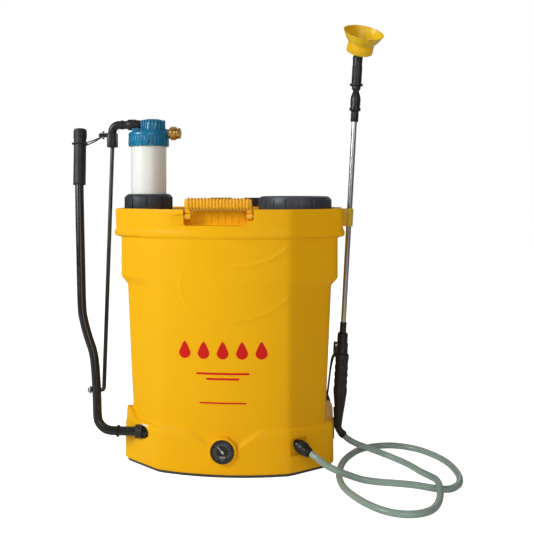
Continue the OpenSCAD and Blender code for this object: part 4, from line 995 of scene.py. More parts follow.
@operator("lid", "Fill lid", "The screw lid with its ribs")
def make_lid(look):
    low, high = span("fill_lid")
    c = (low + high) / 2
    r, z0, z1 = (high.x - low.x) / 2, low.z, high.z
    ribs = look.lid_ribs
    s = Shape()
    s.turned([(r - 2.2, z0 + 0.3), (r - 1.2, z0 + 1.0), (r - 1.2, z1 - 6.0), (r - 2.6, z1 - 2.2),
              (r - 6, z1 - 0.4), (r - 9, z1), (r - 15, z1), (r - 16.5, z1 - 1.4), (r - 30, z1 - 1.4),
              (r - 31, z1 - 0.6), (20, z1 - 0.4), (0.01, z1 - 0.4), (0.01, z1 - 4.5), (48, z1 - 4.5),
              (49, z1 - 6.5), (59, z1 - 6.5), (59, z0 + 0.3)],
             at(c.x, c.y), 144, loop=False)
    unit = Shape().block((2.6, 2 * math.pi * r / ribs * 0.86, z1 - z0 - 6.5), (0, 0, 0), 1.1, steps=3)
    ring_of(s, unit, at(c.x, c.y, (z0 + z1) / 2 - 2.2), ribs, r - 1.3, start=math.pi / ribs)
    grip = Shape().block((20, 3.6, 1.6), (0, 0, 0), 0.7)
    ring_of(s, grip, at(c.x, c.y, z1 - 1.0), 3, 30)
    place_piece(s.make("fill_cap", FINISHES["lid_plastic"]), "fill_lid")


@operator("ring_nut", "Ring nut", "The ribbed nut that holds the pump in the tank")
def make_ring_nut(look):
    low, high = span("pump_ring_nut")
    c = (low + high) / 2
    r, z0, z1 = (high.x - low.x) / 2, low.z, high.z
    n = look.nut_ribs
    s = Shape()
    s.turned([(39.2, z0), (r - 1.0, z0), (r - 1.0, z1 - 6), (r - 2.2, z1 - 3.2), (r - 5.5, z1 - 0.7),
              (r - 8.5, z1), (33.4, z1), (33.2, z1 - 4.2), (39.2, z1 - 4.2)], at(c.x, c.y), 128, loop=True)
    unit = Shape().block((2.4, 2 * math.pi * r / n * 0.8, z1 - z0 - 6.0), (0, 0, 0), 1.1, steps=3)
    ring_of(s, unit, at(c.x, c.y, (z0 + z1) / 2 - 2.4), n, r - 1.2, start=0.2)
    fin = Shape().block((2.0, 3.0, z1 - z0 - 3.0), (0, 0, 0), 0.9, steps=2)
    ring_of(s, fin, at(c.x, c.y, (z0 + z1) / 2 - 1.4), n, r - 1.6, start=0.2 + math.pi / n)
    place_piece(s.make("ring_nut_ribbed", FINISHES["nut_plastic"]), "pump_ring_nut")


@operator("handle", "Carry handle", "The ribbed carry handle on its two pins")
def make_handle(look):
    low, high = span("carry_handle")
    x0, x1, z1 = low.x, high.x, high.z
    y, pivot = HANDLE_Y, HANDLE_PIVOT
    cy, cz = y - 8, z1 - 10
    s = Shape()
    bar = [(x0 + 0.2, 0.55), (x0 + 0.8, 0.86), (x0 + 3, 0.98), (x0 + 5, 1.0), (x1 - 5, 1.0), (x1 - 3, 0.98),
           (x1 - 0.8, 0.86), (x1 - 0.2, 0.55)]
    s.loft([[(x, cy + p * 6.2 * k, cz + q * 7.9 * k) for p, q in superellipse(40, 0.55)] for x, k in bar])
    n = look.handle_ribs
    gap = (x1 - x0 - 14) / (n - 1)
    rib = Shape()
    prof = [(p * 8.0, q * 9.95) for p, q in superellipse(32, 0.6)]
    rib.loft([[(x, p * k, q * k) for p, q in prof] for x, k in
              ((-gap * 0.29, 0.8), (-gap * 0.25, 0.95), (-gap * 0.12, 1.0), (gap * 0.12, 1.0),
               (gap * 0.25, 0.95), (gap * 0.29, 0.8))])
    row_of(s, rib, at(x0 + 7, cy, cz), n, gap)
    for x in (x0, x1 - 10):
        s.turned([(3.1, 0.15), (5.9, 0.15), (5.9, 9.85), (3.1, 9.85)], at(x, y, pivot, (0, 90, 0)), 40,
                 loop=True)
        s.block((9.7, 11.6, 16), (x + 5, y, pivot + 13.4), 1.6, steps=3)
    place_piece(s.make("carry_bar", FINISHES["handle_plastic"], angle=40), "carry_handle")


# ---------- hand pump ----------

@operator("chamber", "Pressure chamber", "The milky chamber that rises and falls with the lever")
def make_chamber(look):
    low, high = span("pump_chamber")
    c = (low + high) / 2
    r = (high.x - low.x) / 2
    s = Shape()
    s.turned([(r - 3, low.z), (r - 0.4, low.z), (r, low.z + 0.5), (r, high.z - 12), (r, high.z - 0.5),
              (r - 0.4, high.z), (r - 3, high.z)], at(c.x, c.y), 128, loop=True)
    obj = s.make("chamber_tube", FINISHES["chamber_plastic"])
    place_piece(obj, "pump_chamber")
    seal = span("cup_seal")
    s = Shape()
    zc = seal[0].z
    s.turned([(22.2, zc), (32.6, zc), (32.9, zc + 2), (32.2, zc + 3), (32.9, zc + 5), (32.4, zc + 12),
              (30.5, zc + 14), (22.2, zc + 14)], at(c.x, c.y), 96, loop=True)
    place_piece(s.make("piston_ring", FINISHES["gasket_rubber"]), "cup_seal")


@operator("cap", "Pump cap", "The blue cap with its ribs, lugs and ribbed dome")
def make_cap(look):
    low, high = span("pump_cap")
    ch = span("pump_chamber")
    px = (ch[0].x + ch[1].x) / 2
    z0, z1 = low.z, high.z
    zf = z0 + 28
    dome = px + 8
    s = Shape()
    s.turned([(32.5, z0 + 18.2), (32.6, z0 + 0.2), (35.6, z0), (36.6, z0 + 0.8), (36.6, z0 + 18),
              (37.3, z0 + 19.5), (37.3, z0 + 23.5), (36, z0 + 25.8), (31, zf), (24, zf + 0.6),
              (0.01, zf + 0.6), (0.01, z0 + 18.2)],
             at(px), 144)
    unit = Shape().block((2.0, 2.2, 17.5), (0, 0, 0), 0.7)
    ring_of(s, unit, at(px, 0, z0 + 9.4), 36, 36.3, start=0.05)
    lug = Shape().block((5.0, 7.6, 12), (0, 0, 0), 1.3, steps=3)
    ring_of(s, lug, at(px, 0, z0 + 7.2), 6, 36.6, start=math.radians(36))
    s.turned([(24.5, zf - 1), (23.0, zf + 1.5), (21.6, zf + 3), (21.4, z1 - 9), (20.2, z1 - 4.8),
              (17.0, z1 - 1.6), (12.5, z1 - 0.3), (7, z1), (0.01, z1)], at(dome), 96)
    fin = Shape().block((3.4, 2.3, 19.5), (0, 0, 0), 0.95, steps=3)
    ring_of(s, fin, at(dome, 0, zf + 11.2), 22, 21.3, start=0.07)
    s.block((14, 13, 10.5), (px - 24, 0, zf + 3.4), 2.2, steps=3)
    out_z = z0 + 24.5
    s.turned([(8.6, 0), (8.6, 8), (7.4, 9.4), (7.4, 12.5)], at(px + 26, 0, out_z, (0, 90, 0)), 40)
    place_piece(s.make("finned_cap", FINISHES["cap_plastic"]), "pump_cap")

    blow, bhigh = span("brass_outlet")
    bz = (blow.z + bhigh.z) / 2
    r = (bhigh.z - blow.z) / 2
    s = Shape()
    place = at(blow.x, 0, bz, (0, 90, 0))
    s.turned([(8.6, 0), (9.5, 0.2), (9.5, 2.2), (r - 2.0, 2.6), (r - 0.4, 4.2), (r - 0.3, 11.5),
              (r - 1.8, 14.4), (9.6, 15.0), (9.9, 16.0), (9.9, 20.6), (8.8, 21.9), (4.2, 22.0), (4.0, 6.0),
              (0.01, 6.0)],
              place, 72)
    knurl = Shape().block((1.2, 1.5, 8.6), (0, 0, 0), 0.45)
    ring_of(s, knurl, place @ at(0, 0, 8.2), 36, r - 0.75)
    place_piece(s.make("brass_port", FINISHES["brass"]), "brass_outlet")


@operator("elbow", "Crosshead", "The black elbow pipe, its collar, the slotted sleeve and the latch button")
def make_elbow(look):
    low, high = span("crosshead_elbow")
    r = 7.7
    ex, ez = -224.5, high.z - r
    nut = span("elbow_nut")
    s = Shape()
    bend = [(ex + 13 - 13 * math.cos(math.radians(a)), 0, ez - 13 + 13 * math.sin(math.radians(a)))
            for a in range(0, 91, 7)]
    sleeve_top = low.z + 27.3
    path = [(ex, 0, sleeve_top - 1), (ex, 0, sleeve_top + 6)] + bend + [(ex + 30, 0, ez), (high.x, 0, ez)]
    s.tube(path, r, 36)
    s.turned([(r - 1, -3), (r + 0.9, -2.4), (r + 0.9, 2.4), (r - 1, 3)], at(ex + 19, 0, ez, (0, 90, 0)), 40)
    shell = Shape().loft([[(ex + x * 8.7 * k, y * 11.9 * k, z) for x, y in superellipse(40, 0.5)] for z, k in
                          ((low.z + 0.1, 0.93), (low.z + 1.2, 1.0), (sleeve_top - 3, 1.0),
                           (sleeve_top - 1, 0.95), (sleeve_top, 0.8))]).make("sleeve")
    cut = Shape().block((11.3, 19, 40), (ex, 0, low.z + 6.0), 1.0).make("slot")
    carve(shell, [cut])
    s.take(shell)
    place_piece(s.make("elbow_pipe", FINISHES["elbow_plastic"]), "crosshead_elbow")

    s = Shape()
    c = middle("elbow_nut")
    place = at(nut[0].x, 0, c.z, (0, 90, 0))
    s.turned([(7.8, 0), (9.3, 0.2), (9.7, 1.2), (9.7, 15.5), (9.0, 16.6), (8.8, 22.8), (7.8, 23.4)], place,
             60, loop=True)
    unit = Shape().block((1.0, 3.2, 13.2), (0, 0, 0), 0.45)
    ring_of(s, unit, place @ at(0, 0, 8.4), 12, 9.6)
    place_piece(s.make("elbow_collar", FINISHES["elbow_plastic"]), "elbow_nut")

    peg, pc = span("latch_peg"), middle("latch_peg")
    s = Shape()
    s.turned([(0.01, 0), (2.4, 0.3), (3.9, 1.6), (4.25, 3.4), (4.1, 6), (3.2, 7.5), (3.2, 12), (4.2, 13.2),
              (4.2, 18.0)], at(peg[0].x, 0, pc.z, (0, 90, 0)), 40)
    place_piece(s.make("latch_button", FINISHES["elbow_plastic"]), "latch_peg")


# ---------- lever ----------

LEVER = [(-198, 0), (-207, 0.5), (-217, 3.5), (-226.5, 12), (-231, 24), (-234, 60), (-239.5, 110),
         (-245, 137), (-255, 163), (-263.5, 189), (-269, 216), (-275, 294), (-285, 440), (-288.6, 545)]
PIVOT, LEAN, PIN_R = (-70.0, 61.0), 8.0, 69.5


def leaned():
    """From the lever's own plane to the sprayer."""
    return at(0, PIVOT[0], PIVOT[1], (-LEAN, 0, 0))


@operator("lever", "Lever", "The bent lever tube, its ribbed grip, the link rod and the latch cord")
def make_lever(look):
    place = leaned()
    line = spline([(x, 0, z) for x, z in LEVER], 8)
    path = [place @ p for p in [Vector((-104, 0, 0)), Vector((-106, 0, 0)), Vector((-150, 0, 0)),
                                Vector((-190, 0, 0))] + line]
    s = Shape()
    radii = [7.2, 7.9] + [7.9] * (len(path) - 2)
    s.tube(path, radii, 32)
    s.turned([(7.8, 0), (10.4, 0.2), (10.4, 2.8), (7.8, 3)], place @ at(-194, 0, 0, (0, 90, 0)), 40)
    obj = s.make("lever_tube", FINISHES["black_paint"])
    cut = Shape().turned([(3.7, -20), (3.7, 20)], place @ at(-234.7, 0, PIN_R, (0, 90, 0)),
                         32).make("pin_hole")
    carve(obj, [cut])
    place_piece(obj, "pump_lever")

    top = Vector((LEVER[-1][0], 0, LEVER[-1][1]))
    axis = (top - Vector((LEVER[-2][0], 0, LEVER[-2][1]))).normalized()
    turn = place @ Matrix.Translation(top - axis * 104) @ axis.to_track_quat("Z", "Y").to_matrix().to_4x4()
    s = Shape()
    s.turned([(8.2, 0), (11.0, 0.3), (11.9, 1.4), (11.4, 3.0), (11.4, 84), (11.5, 86), (11.9, 88),
              (11.9, 103.5), (11.2, 105.6), (9.4, 106.6), (0.01, 106.9)], turn, 64)
    n = look.grip_ribs
    for k in range(n):
        unit = Shape().block((1.1, 5.2, 1.35), (0, 0, 0), 0.42)
        ring_of(s, unit, turn @ at(0, 0, 5.5 + k * 2.35), 3, 11.5, start=math.radians(150),
                sweep=math.radians(90))
    flute = Shape().block((0.9, 1.8, 13), (0, 0, 0), 0.4)
    ring_of(s, flute, turn @ at(0, 0, 95.5), 20, 11.8)
    place_piece(s.make("lever_handgrip", FINISHES["grip_rubber"]), "lever_grip")

    high = span("pump_link")[1]
    lx = -224.0
    py, pz = PIVOT[0] + PIN_R * math.sin(math.radians(LEAN)), PIVOT[1] + PIN_R * math.cos(math.radians(LEAN))
    topz = high.z - 4.25
    foot = Vector((lx + 2.5, py, pz))
    head = Vector((lx, 0, topz))
    up = (head - foot).normalized()
    s = Shape()
    bend = [Vector((x, py, pz)) + up * lift for x, lift in
            ((-250.5, 0), (-246, 0), (-232, 0), (-226, 0.3), (-223.2, 1.4))] + [foot + up * 5, foot + up * 10]
    run = [foot + (head - foot) * k / 12 for k in range(1, 13)]
    s.tube(spline(bend, 4)[:-1] + run, 3.6, 24)
    s.turned([(0.01, -4.1), (2.4, -3.4), (3.9, -1.6), (4.2, 0), (3.9, 1.6), (2.4, 3.4), (0.01, 4.1)],
             at(*head), 32)
    place_piece(s.make("link_rod", FINISHES["black_paint"]), "pump_link")

    mid = place @ Vector((LEVER[-1][0] + 0.9, 0, 519))
    peg, pc = span("latch_peg"), middle("latch_peg")
    hook = Vector((peg[0].x + 9.2, 0, pc.z))
    s = Shape()
    ring_r = 13.9
    tip_over = Matrix.Rotation(math.radians(-LEAN), 3, "X")

    def on_ring(a):
        return mid + tip_over @ Vector((ring_r * math.cos(a), ring_r * math.sin(a), 0))

    ring_tube(s, [on_ring(2 * math.pi * k / 40) for k in range(40)], 1.3)
    tab = hook + Vector((-2, 6.6, 0))
    for sgn in (-1, 1):
        start = on_ring(math.radians(35 * sgn))
        sag = Vector((0, 0, -1.4))
        s.tube(spline([start, start.lerp(tab, 0.35) + sag, start.lerp(tab, 0.7) + sag, tab], 5), 1.15, 14)
    arc = [hook + Vector((0, 6.2 * math.cos(math.radians(a)), 6.2 * math.sin(math.radians(a))))
           for a in range(-112, 113, 8)]
    s.tube([p + Vector((-1, 0, 0)) for p in arc], 1.5, 14)
    s.tube([tab + Vector((-1, 0, 0)), hook + Vector((-1, 5.9, 0))], 1.6, 14)
    place_piece(s.make("latch_cord", FINISHES["wire_rubber"]), "latch_loop")


def ring_tube(shape, points, radius, sides=14):
    """A closed tube through a ring of points."""
    n = len(points)
    rings = []
    centre = sum(points, Vector()) / n
    for i, p in enumerate(points):
        t = (points[(i + 1) % n] - points[i - 1]).normalized()
        out = (p - centre).normalized()
        up = t.cross(out).normalized()
        rings.append([p + radius * (math.cos(a) * out + math.sin(a) * up)
                      for a in (2 * math.pi * k / sides for k in range(sides))])
    shape.loft(rings, loop=True)


# ---------- gauge and outlet ----------

@operator("gauge", "Gauge", "The dial's bezel, marks, glass and needle")
def make_gauge(look):
    front = tank_values()["front"]
    place = at(0, front, GAUGE_Z, (90, 0, 0))
    s = Shape()
    s.turned([(18.0, 0.9), (19.0, 0.9), (19.9, 1.8), (19.9, 3.5), (19.4, 4.7), (18.6, 4.9), (18.0, 4.2)],
             place, 96, loop=True)
    place_piece(s.make("gauge_ring", FINISHES["bezel_plastic"]), "gauge_bezel")
    s = Shape()
    s.turned([(15.8, -20), (17.7, 0.5), (17.7, 2.4), (0.01, 2.4)], place, 64)
    place_piece(s.make("gauge_face", FINISHES["dial_print"]), "gauge_dial")
    s = Shape()
    tick = Shape().block((3.2, 0.8, 0.4), (0, 0, 0), 0.12)
    ring_of(s, tick, place @ at(0, 0, 2.55), 22, 14.6, start=math.radians(-45), sweep=math.radians(290))
    small = Shape().block((1.6, 0.45, 0.4), (0, 0, 0), 0.1)
    ring_of(s, small, place @ at(0, 0, 2.55), 44, 11.4, start=math.radians(-45), sweep=math.radians(285))
    s.block((11, 4.2, 0.5), (0, -9.0, 2.55), 0.2, place)
    for k in range(3):
        s.block((7 - 1.6 * k, 0.7, 0.5), (0, -12.6 - 1.5 * k, 2.6), 0.15, place)
    obj = s.make("gauge_marks", FINISHES["dial_marks"])
    place_piece(obj, body="tank", slot="needle_paint")
    s = Shape()
    needle = place @ at(0, 0, 3.2, (0, 0, 40))
    s.add([(-0.9, -4, 0), (0.9, -4, 0), (0.28, 12.5, 0), (-0.28, 12.5, 0), (-0.9, -4, 0.5), (0.9, -4, 0.5),
           (0.28, 12.5, 0.5), (-0.28, 12.5, 0.5)],
          [[3, 2, 1, 0], [4, 5, 6, 7], [0, 1, 5, 4], [1, 2, 6, 5], [2, 3, 7, 6], [3, 0, 4, 7]], needle)
    s.turned([(0.01, -0.5), (2.1, -0.4), (2.1, 0.7), (1.6, 1.0), (0.01, 1.1)], needle, 24)
    place_piece(s.make("gauge_pointer", FINISHES["needle_paint"]), "gauge_needle")


@operator("outlet", "Outlet", "The hose nut in the base's recess")
def make_outlet(look):
    place = outlet_place()
    s = Shape()
    s.turned([(3.6, 5.2), (10.0, 5.0), (10.7, 5.8), (10.7, 16.2), (10.2, 17.2), (10.0, 19.5), (8.4, 26.5),
              (7.2, 28), (5.6, 28), (5.6, 19), (3.6, 19)], place, 64, loop=True)
    unit = Shape().block((1.1, 2.0, 10.4), (0, 0, 0), 0.4)
    ring_of(s, unit, place @ at(0, 0, 11), 18, 10.8)
    place_piece(s.make("outlet_collar", FINISHES["nozzle_plastic"]), "outlet_nut")
    s = Shape()
    s.turned([(2, -26), (6.9, -26), (6.9, 1.8), (10.4, 2.0), (10.4, 4.6), (3.4, 4.8), (3.4, 18), (2, 19)],
             place, 48, loop=True)
    place_piece(s.make("outlet_stem", FINISHES["nozzle_plastic"]), "outlet_spigot")


# ---------- wand ----------

WAND_AT, WAND_LEAN, VALVE_Z, GRIP_Z = (193.5, 10.0), 3.1, 188.0, 51.0
LANCE_Z, LANCE_L = VALVE_Z + 22, 400


def wand():
    """From the wand's own axis, along Z, to the sprayer."""
    return at(WAND_AT[0], WAND_AT[1], 0, (0, WAND_LEAN, 0))


@operator("valve", "Trigger valve", "The grip, valve head, squeeze bar and nuts of the trigger valve")
def make_valve(look):
    w = wand()
    s = Shape()
    gr = 13.4
    prof = [(6.0, GRIP_Z + 0.2), (6.8, GRIP_Z + 0.6), (7.7, GRIP_Z + 12), (9.0, GRIP_Z + 26),
            (10.7, GRIP_Z + 40), (12.2, GRIP_Z + 54), (gr, GRIP_Z + 66)]
    for k in range(4):
        z = GRIP_Z + 72 + k * 13
        prof += [(gr, z), (gr - 0.9, z + 4), (gr - 0.9, z + 8)]
    prof += [(gr, VALVE_Z - 8), (gr, VALVE_Z - 2), (gr - 1.4, VALVE_Z - 0.4), (0.01, VALVE_Z - 0.3)]
    s.turned(prof, w, 64, ribs=lambda a, _: 1.0 - 0.05 * abs(math.sin(a)) ** 2)
    grip = s.make("grip")
    cut = Shape().block((15, 13, 150), (-12.5, 0, GRIP_Z + 36 + 75), 1.2, w).make("bar_slot")
    carve(grip, [cut])
    s = Shape()
    s.take(grip)
    base = w @ Vector((0, 0, GRIP_Z + 2))
    end = Vector(HOSE[-1])
    aim = (Vector(HOSE[-2]) - end).normalized()
    s.tube(spline([base, base.lerp(end, 0.5) + Vector((-1.2, 0, 0.5)), end - aim * 1.5, end + aim * 6], 4),
           [6.4] * 9 + [6.6] * 3 + [6.3], 28)
    for k in range(4):
        q = end + aim * (k * 1.9 - 1)
        s.turned([(6.2, -0.6), (7.2, -0.3), (7.2, 0.3), (6.2, 0.6)],
                 Matrix.Translation(q) @ aim.to_track_quat("Z", "Y").to_matrix().to_4x4(), 32)
    place_piece(s.make("valve_handle", FINISHES["grip_rubber"], angle=40), "valve_grip")

    s = Shape()
    s.turned([(10.2, VALVE_Z + 0.2), (10.9, VALVE_Z + 1), (10.9, VALVE_Z + 8), (10.2, VALVE_Z + 9.5),
              (10.9, VALVE_Z + 11), (10.9, VALVE_Z + 18.5), (9.4, VALVE_Z + 20.2), (9.2, VALVE_Z + 21),
              (9.2, VALVE_Z + 36.5), (8.2, VALVE_Z + 38), (0.01, VALVE_Z + 38)], w, 64)
    unit = Shape().block((1.0, 2.4, 14.5), (0, 0, 0), 0.4)
    ring_of(s, unit, w @ at(0, 0, VALVE_Z + 29), 14, 9.1)
    for y in (-5.75, 5.75):
        s.block((13.5, 2.4, 19.4), (-9.2, y, VALVE_Z + 10), 0.9, w, steps=2)
    place_piece(s.make("valve_head", FINISHES["nozzle_plastic"]), "valve_body")

    s = Shape()
    top = VALVE_Z + 19
    pts = [(-11.5, top), (-11.5, VALVE_Z + 6), (-12.6, VALVE_Z - 2), (-16.2, VALVE_Z - 9),
           (-18.6, VALVE_Z - 24), (-20.2, VALVE_Z - 46), (-21.6, VALVE_Z - 68), (-22.9, VALVE_Z - 84),
           (-22.4, VALVE_Z - 88)]
    line = spline([(x, 0, z) for x, z in pts], 4)
    rings = []
    for i, p in enumerate(line):
        t = (line[min(i + 1, len(line) - 1)] - line[max(i - 1, 0)]).normalized()
        out = t.cross(Vector((0, 1, 0)))
        k = i / (len(line) - 1)
        wide = 3.6 + 2.0 * ease((k - 0.2) / 0.2) - 2.0 * ease((k - 0.94) / 0.06)
        thick = 2.8 - 1.0 * ease((k - 0.3) / 0.3)
        rings.append([p + out * thick * c + Vector((0, 1, 0)) * wide * q for c, q in superellipse(24, 0.6)])
    s.loft(rings, w)
    place_piece(s.make("squeeze_bar", FINISHES["nozzle_plastic"], angle=40), "trigger_lever")


@operator("lance", "Lance", "The steel lance, its nut and the holder on the rim")
def make_lance(look):
    w = wand()
    z0 = VALVE_Z + 38
    s = Shape()
    s.turned([(4.8, z0), (6.1, z0), (6.2, z0 + 1), (6.0, z0 + 6), (6.2, z0 + 7), (6.0, z0 + 12),
              (6.2, z0 + 13), (6.0, z0 + 18), (5.6, z0 + 19.6), (4.8, z0 + 20)], w, 48, loop=True)
    place_piece(s.make("lance_collar", FINISHES["nozzle_plastic"]), "lance_nut")
    s = Shape()
    end = LANCE_Z + LANCE_L + 22
    s.turned([(3.75, LANCE_Z), (4.75, LANCE_Z), (4.75, end), (3.75, end)], w, 48, loop=True)
    place_piece(s.make("lance_pipe", FINISHES["stainless"], angle=60), "lance_tube")
    zc = 422.0
    s = Shape()
    s.turned([(4.85, zc), (6.6, zc), (7.2, zc + 0.8), (7.2, zc + 32.2), (6.6, zc + 33), (4.85, zc + 33)], w,
             48, loop=True)
    s.block((13, 10.5, 32), (span("lance_clip")[0].x + 6.6, WAND_AT[1], zc + 16.2), 1.6, steps=3)
    for z in (zc + 6, zc + 26):
        s.turned([(6.8, z - 1.5), (7.35, z - 0.8), (7.35, z + 0.8), (6.8, z + 1.5)], w, 48)
    place_piece(s.make("lance_holder", FINISHES["clip_plastic"]), "lance_clip")


HOOD_TURN, NECK_L = (31, 10, 0), 118.0


@operator("nozzle", "Nozzle", "The black nozzle body and the yellow hood on its bent end")
def make_nozzle(look):
    w = wand()
    z0 = LANCE_Z + LANCE_L + 4
    w0 = w @ at(0, 0, z0)
    s = Shape()
    s.turned([(4.9, 0.2), (6.4, 0.2), (6.8, 1), (6.8, 17.5), (7.2, 19), (10.2, 21.6), (10.5, 23),
              (10.2, 25.6), (8.9, 27), (8.6, 29), (9.1, 36), (9.2, 40), (8.6, 47), (6.2, 54), (5.5, 57),
              (6.6, 59), (8.0, 60.5), (8.2, 65), (8.0, 66), (11.7, 66.4), (12.0, 67.5), (12.0, 69),
              (11.6, 70.2), (9.0, 71), (8.8, 78), (8.5, 100), (9.0, NECK_L - 3), (9.4, NECK_L),
              (7.0, NECK_L + 6.5), (0.01, NECK_L + 9)], w0, 64)
    flat = Shape().block((3.0, 4.4, 15), (0, 0, 0), 1.4, steps=3)
    ring_of(s, flat, w0 @ at(0, 0, 37), 8, 7.7)
    nib = Shape().block((1.2, 2.6, 16), (0, 0, 0), 0.5)
    ring_of(s, nib, w0 @ at(0, 0, 9.5), 10, 6.5)
    fin = Shape().block((1.2, 1.8, 30), (0, 0, 0), 0.5)
    ring_of(s, fin, w0 @ at(0, 0, 88), 12, 8.6)
    tip = w0 @ at(0, 0, NECK_L, HOOD_TURN)
    s.turned([(8.8, 0), (8.8, 10.8), (0.01, 11)], tip, 48)
    place_piece(s.make("nozzle_barrel", FINISHES["nozzle_plastic"]), "nozzle_neck")

    hood = tip @ at(0, 0, 9.5)
    rim = 36.8
    s = Shape()
    s.turned([(9.3, 0.1), (18.6, 0.1), (22.2, 1.6), (23.1, 5), (23.3, 17.5), (24.0, 20.0), (26.6, 23.2),
              (30.4, 28), (33.7, 34), (35.6, 38.4), (rim, 39.4), (rim, 39.9), (rim - 1.4, 39.9), (34.1, 37.5),
              (32.0, 32.6), (28.6, 27.6), (24.6, 24.0), (22.1, 20), (21.5, 5.5), (19.6, 3),
              (9.3, 2.8)], hood, 128, loop=True)
    rib = Shape().block((1.4, 2.1, 16.5), (0, 0, 0), 0.6)
    ring_of(s, rib, hood @ at(0, 0, 10.5), 38, 23.3)
    place_piece(s.make("hood_horn", FINISHES["hood_plastic"]), "spray_hood")
    s = Shape()
    s.turned([(9.0, 1.7), (9.1, 8), (8.0, 8.6), (7.6, 12), (5.2, 15.6), (1.2, 15.9), (0.9, 12), (0.01, 12)],
             hood, 48)
    place_piece(s.make("spray_tip", FINISHES["brass"]), "nozzle_tip")


# ---------- harness ----------

PAD = [(34, 106, 462), (36, 116, 458), (40, 128, 446), (46, 137, 424), (54, 142, 394),
       (64, 142, 358), (74, 138, 320), (84, 132, 284), (92, 126, 252)]
WEB = [(92, 126, 250), (102, 122, 218), (116, 119, 180), (134, 118, 140), (152, 119, 104),
       (166, 118, 74), (172, 112, 52), (170, 104, 40)]
PAD_SIDE, WEB_SIDE = Vector((1, -0.1, 0.25)).normalized(), Vector((0.94, 0, 0.35)).normalized()
PAD_W, PAD_T, WEB_W, WEB_T = 50.0, 13.0, 30.0, 2.4


def strap_rings(line, side, wide, thick, sgn, sides=28, power=0.45):
    """Sections of a flat strap along a line. wide and thick give half sizes at a share of its length."""
    rings = []
    for i, p in enumerate(line):
        t = (line[min(i + 1, len(line) - 1)] - line[max(i - 1, 0)]).normalized()
        out = t.cross(side).normalized()
        k = i / (len(line) - 1)
        around = [p + side * wide(k) * c + out * thick(k) * q for c, q in superellipse(sides, power)]
        rings.append([(q.x * sgn, q.y, q.z) for q in around])
    return rings


def strip_uv(obj, side, line):
    """A UV map: U across a strap, in units of 50 mm, and V along it, 1 for its whole length."""
    mesh = obj.data
    layer = mesh.uv_layers.new(name="strap")
    pts = np.array([tuple(p) for p in line])
    run = np.concatenate([[0], np.cumsum(np.linalg.norm(np.diff(pts, axis=0), axis=1))])
    for poly in mesh.polygons:
        for li in poly.loop_indices:
            v = mesh.vertices[mesh.loops[li].vertex_index].co / MM
            q = np.array((abs(v.x), v.y, v.z))
            i = int(np.argmin(((pts - q) ** 2).sum(axis=1)))
            across = Vector(q - pts[i]).dot(side)
            ahead = pts[min(i + 1, len(pts) - 1)] - pts[max(i - 1, 0)]
            ahead /= np.linalg.norm(ahead)
            layer.data[li].uv = (across / 50 + 0.5, (run[i] + float((q - pts[i]) @ ahead)) / run[-1])


@operator("pads", "Shoulder pads", "Two stuffed shoulder pads, swollen by cloth simulation, with sewn edges")
def make_pads(look):
    line = spline(PAD, 10)

    def half_size(middle_size, end_share, run_in):
        """Half a size at a share k of the length, smaller near both ends."""
        return lambda k: middle_size * (end_share + (1 - end_share) * ease(k / run_in) * ease((1 - k) / run_in))

    s = Shape()
    for sgn in (1, -1):
        s.loft(strap_rings(line, PAD_SIDE, half_size(PAD_W / 2 - 2.5, 0.86, 0.12),
                           half_size(PAD_T / 2 - 2.6, 0.7, 0.08), sgn))
    obj = s.make("shoulder_padding", FINISHES["pad_fabric"])
    re = obj.modifiers.new("remesh", "REMESH")
    re.mode, re.voxel_size = "VOXEL", 0.0042
    bake_modifiers(obj)
    rest = [v.co.copy() for v in obj.data.vertices]
    cloth = obj.modifiers.new("cloth", "CLOTH")
    cloth.settings.use_pressure = True
    cloth.settings.uniform_pressure_force = 4.0
    cloth.settings.effector_weights.gravity = 0.0
    cloth.settings.quality = 4
    scene = bpy.context.scene
    for f in range(1, 16):
        scene.frame_set(f)
    bake_modifiers(obj)
    scene.frame_set(1)
    cap = 0.0022
    for v, r in zip(obj.data.vertices, rest):
        d = v.co - r
        if d.length > cap:
            v.co = r + d * (cap / d.length)
    pts = [Vector(p) * MM for p in line]
    run = [0.0]
    for a, b in zip(pts, pts[1:]):
        run.append(run[-1] + (b - a).length)
    for v in obj.data.vertices:
        q = Vector((abs(v.co.x), v.co.y, v.co.z))
        i = min(range(len(pts)), key=lambda k: (pts[k] - q).length_squared)
        t = (pts[min(i + 1, len(pts) - 1)] - pts[max(i - 1, 0)]).normalized()
        out = t.cross(PAD_SIDE).normalized()
        across = (q - pts[i]).dot(PAD_SIDE) / MM
        high = (q - pts[i]).dot(out) / MM
        seam = math.exp(-((abs(across) - 17.5) / 1.3) ** 2) * 1.5
        cell = (run[i] / MM) % 46.0
        seam += math.exp(-((cell - 23) / 1.5) ** 2) * 1.1 if abs(across) < 17 else 0
        side = out * math.copysign(min(abs(high), 1.0), high) * -seam * MM
        v.co += Vector((side.x if v.co.x > 0 else -side.x, side.y, side.z))
    sub = obj.modifiers.new("smooth", "SUBSURF")
    sub.levels = sub.render_levels = 1
    bake_modifiers(obj)
    soften(obj, 60)
    strip_uv(obj, PAD_SIDE, line)
    place_piece(obj, "shoulder_pads")
    s = Shape()
    for sgn in (1, -1):
        for off in (-17.5, 17.5):
            for i in range(4, len(line) - 4):
                t = (line[i + 1] - line[i - 1]).normalized()
                out = t.cross(PAD_SIDE).normalized()
                for face in (-1, 1):
                    p = line[i] + PAD_SIDE * off + out * face * (PAD_T / 2 - 1.9)
                    stitch = (p - t * 1.5, p + out * face * 0.35, p + t * 1.5)
                    s.tube([(q.x * sgn, q.y, q.z) for q in stitch], 0.42, 6)
    place_piece(s.make("pad_stitching", FINISHES["stitch_thread"]), body="tank", slot="pad_fabric")


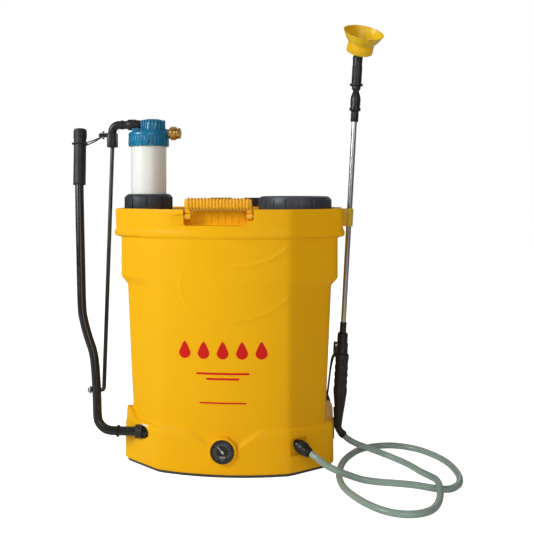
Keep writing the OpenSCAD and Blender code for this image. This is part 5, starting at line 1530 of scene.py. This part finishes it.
@operator("webbing", "Webbing", "Straps, ladder buckles and hangers of the harness")
def make_webbing(look):
    line = spline(WEB, 8)
    s = Shape()
    for sgn in (1, -1):
        s.loft(strap_rings(line, WEB_SIDE, lambda k: WEB_W / 2, lambda k: WEB_T / 2, sgn, 24, 0.3))
    obj = s.make("strap_webbing", FINISHES["web_fabric"], angle=50)
    strip_uv(obj, WEB_SIDE, line)
    place_piece(obj, "harness_webbing")
    s = Shape()
    a, b = Vector(WEB[1]), Vector(WEB[2])
    mid = (a + b) / 2
    t = (a - b).normalized()
    out = t.cross(WEB_SIDE).normalized()
    side = out.cross(t).normalized()
    basis = Matrix((side, t, out)).transposed().to_4x4()
    for sgn in (1, -1):
        flip = Matrix.Diagonal((sgn, 1, 1, 1))
        place = flip @ Matrix.Translation(mid) @ basis
        for x in (-18, 18):
            s.block((4, 42, 5.6), (x, 0, 0), 1.4, place, steps=3)
        for y in (-19, -7, 7, 19):
            s.block((34, 3.6, 3.0), (0, y, 1.6 if abs(y) < 10 else 0.4), 1.0, place, steps=2)
        s.block((24, 11, 1.8), (0, 21.5, 2.2), 0.8, place)
    place_piece(s.make("ladder_buckles", FINISHES["elbow_plastic"]), "harness_buckles")


@operator("inside", "Inside pieces", "Valve balls and other round parts seen through openings")
def make_inside(look):
    for name, r in (("intake_ball", 7), ("delivery_ball", 6.5)):
        c = middle(name)
        s = Shape()
        s.turned([(max(r * math.sin(math.radians(a)), 0.01), -r * math.cos(math.radians(a))) for a in
                  range(0, 181, 10)], at(*c), 32)
        place_piece(s.make(name + "_round", FINISHES["ball_plastic"]), name)


OPERATORS = [make_stage, make_hose, make_tank, make_base, make_drops, make_tray, make_lid, make_ring_nut,
             make_handle, make_chamber, make_cap, make_elbow, make_lever, make_gauge, make_outlet, make_valve,
             make_lance, make_nozzle, make_pads, make_webbing, make_inside]


class SPRAYER_PT_panel(bpy.types.Panel):
    """Buttons that build the sprayer's pieces."""
    bl_idname = "SPRAYER_PT_panel"
    bl_label = "Backpack Sprayer"
    bl_space_type = "VIEW_3D"
    bl_region_type = "UI"
    bl_category = "Sprayer"

    def draw(self, context):
        for name in SpraySizes.__annotations__:
            self.layout.prop(context.scene.sprayer, name)
        for op in OPERATORS:
            self.layout.operator(op.bl_idname)


CLASSES = [SpraySizes, *OPERATORS, SPRAYER_PT_panel]


def register():
    for c in CLASSES:
        bpy.utils.register_class(c)
    bpy.types.Scene.sprayer = bpy.props.PointerProperty(type=SpraySizes)


def unregister():
    del bpy.types.Scene.sprayer
    for c in reversed(CLASSES):
        bpy.utils.unregister_class(c)


def main():
    register()
    build_finishes(sizes())
    for op in OPERATORS:
        getattr(bpy.ops.sprayer, op.bl_idname.split(".")[1])()


if __name__ == "__main__":
    main()
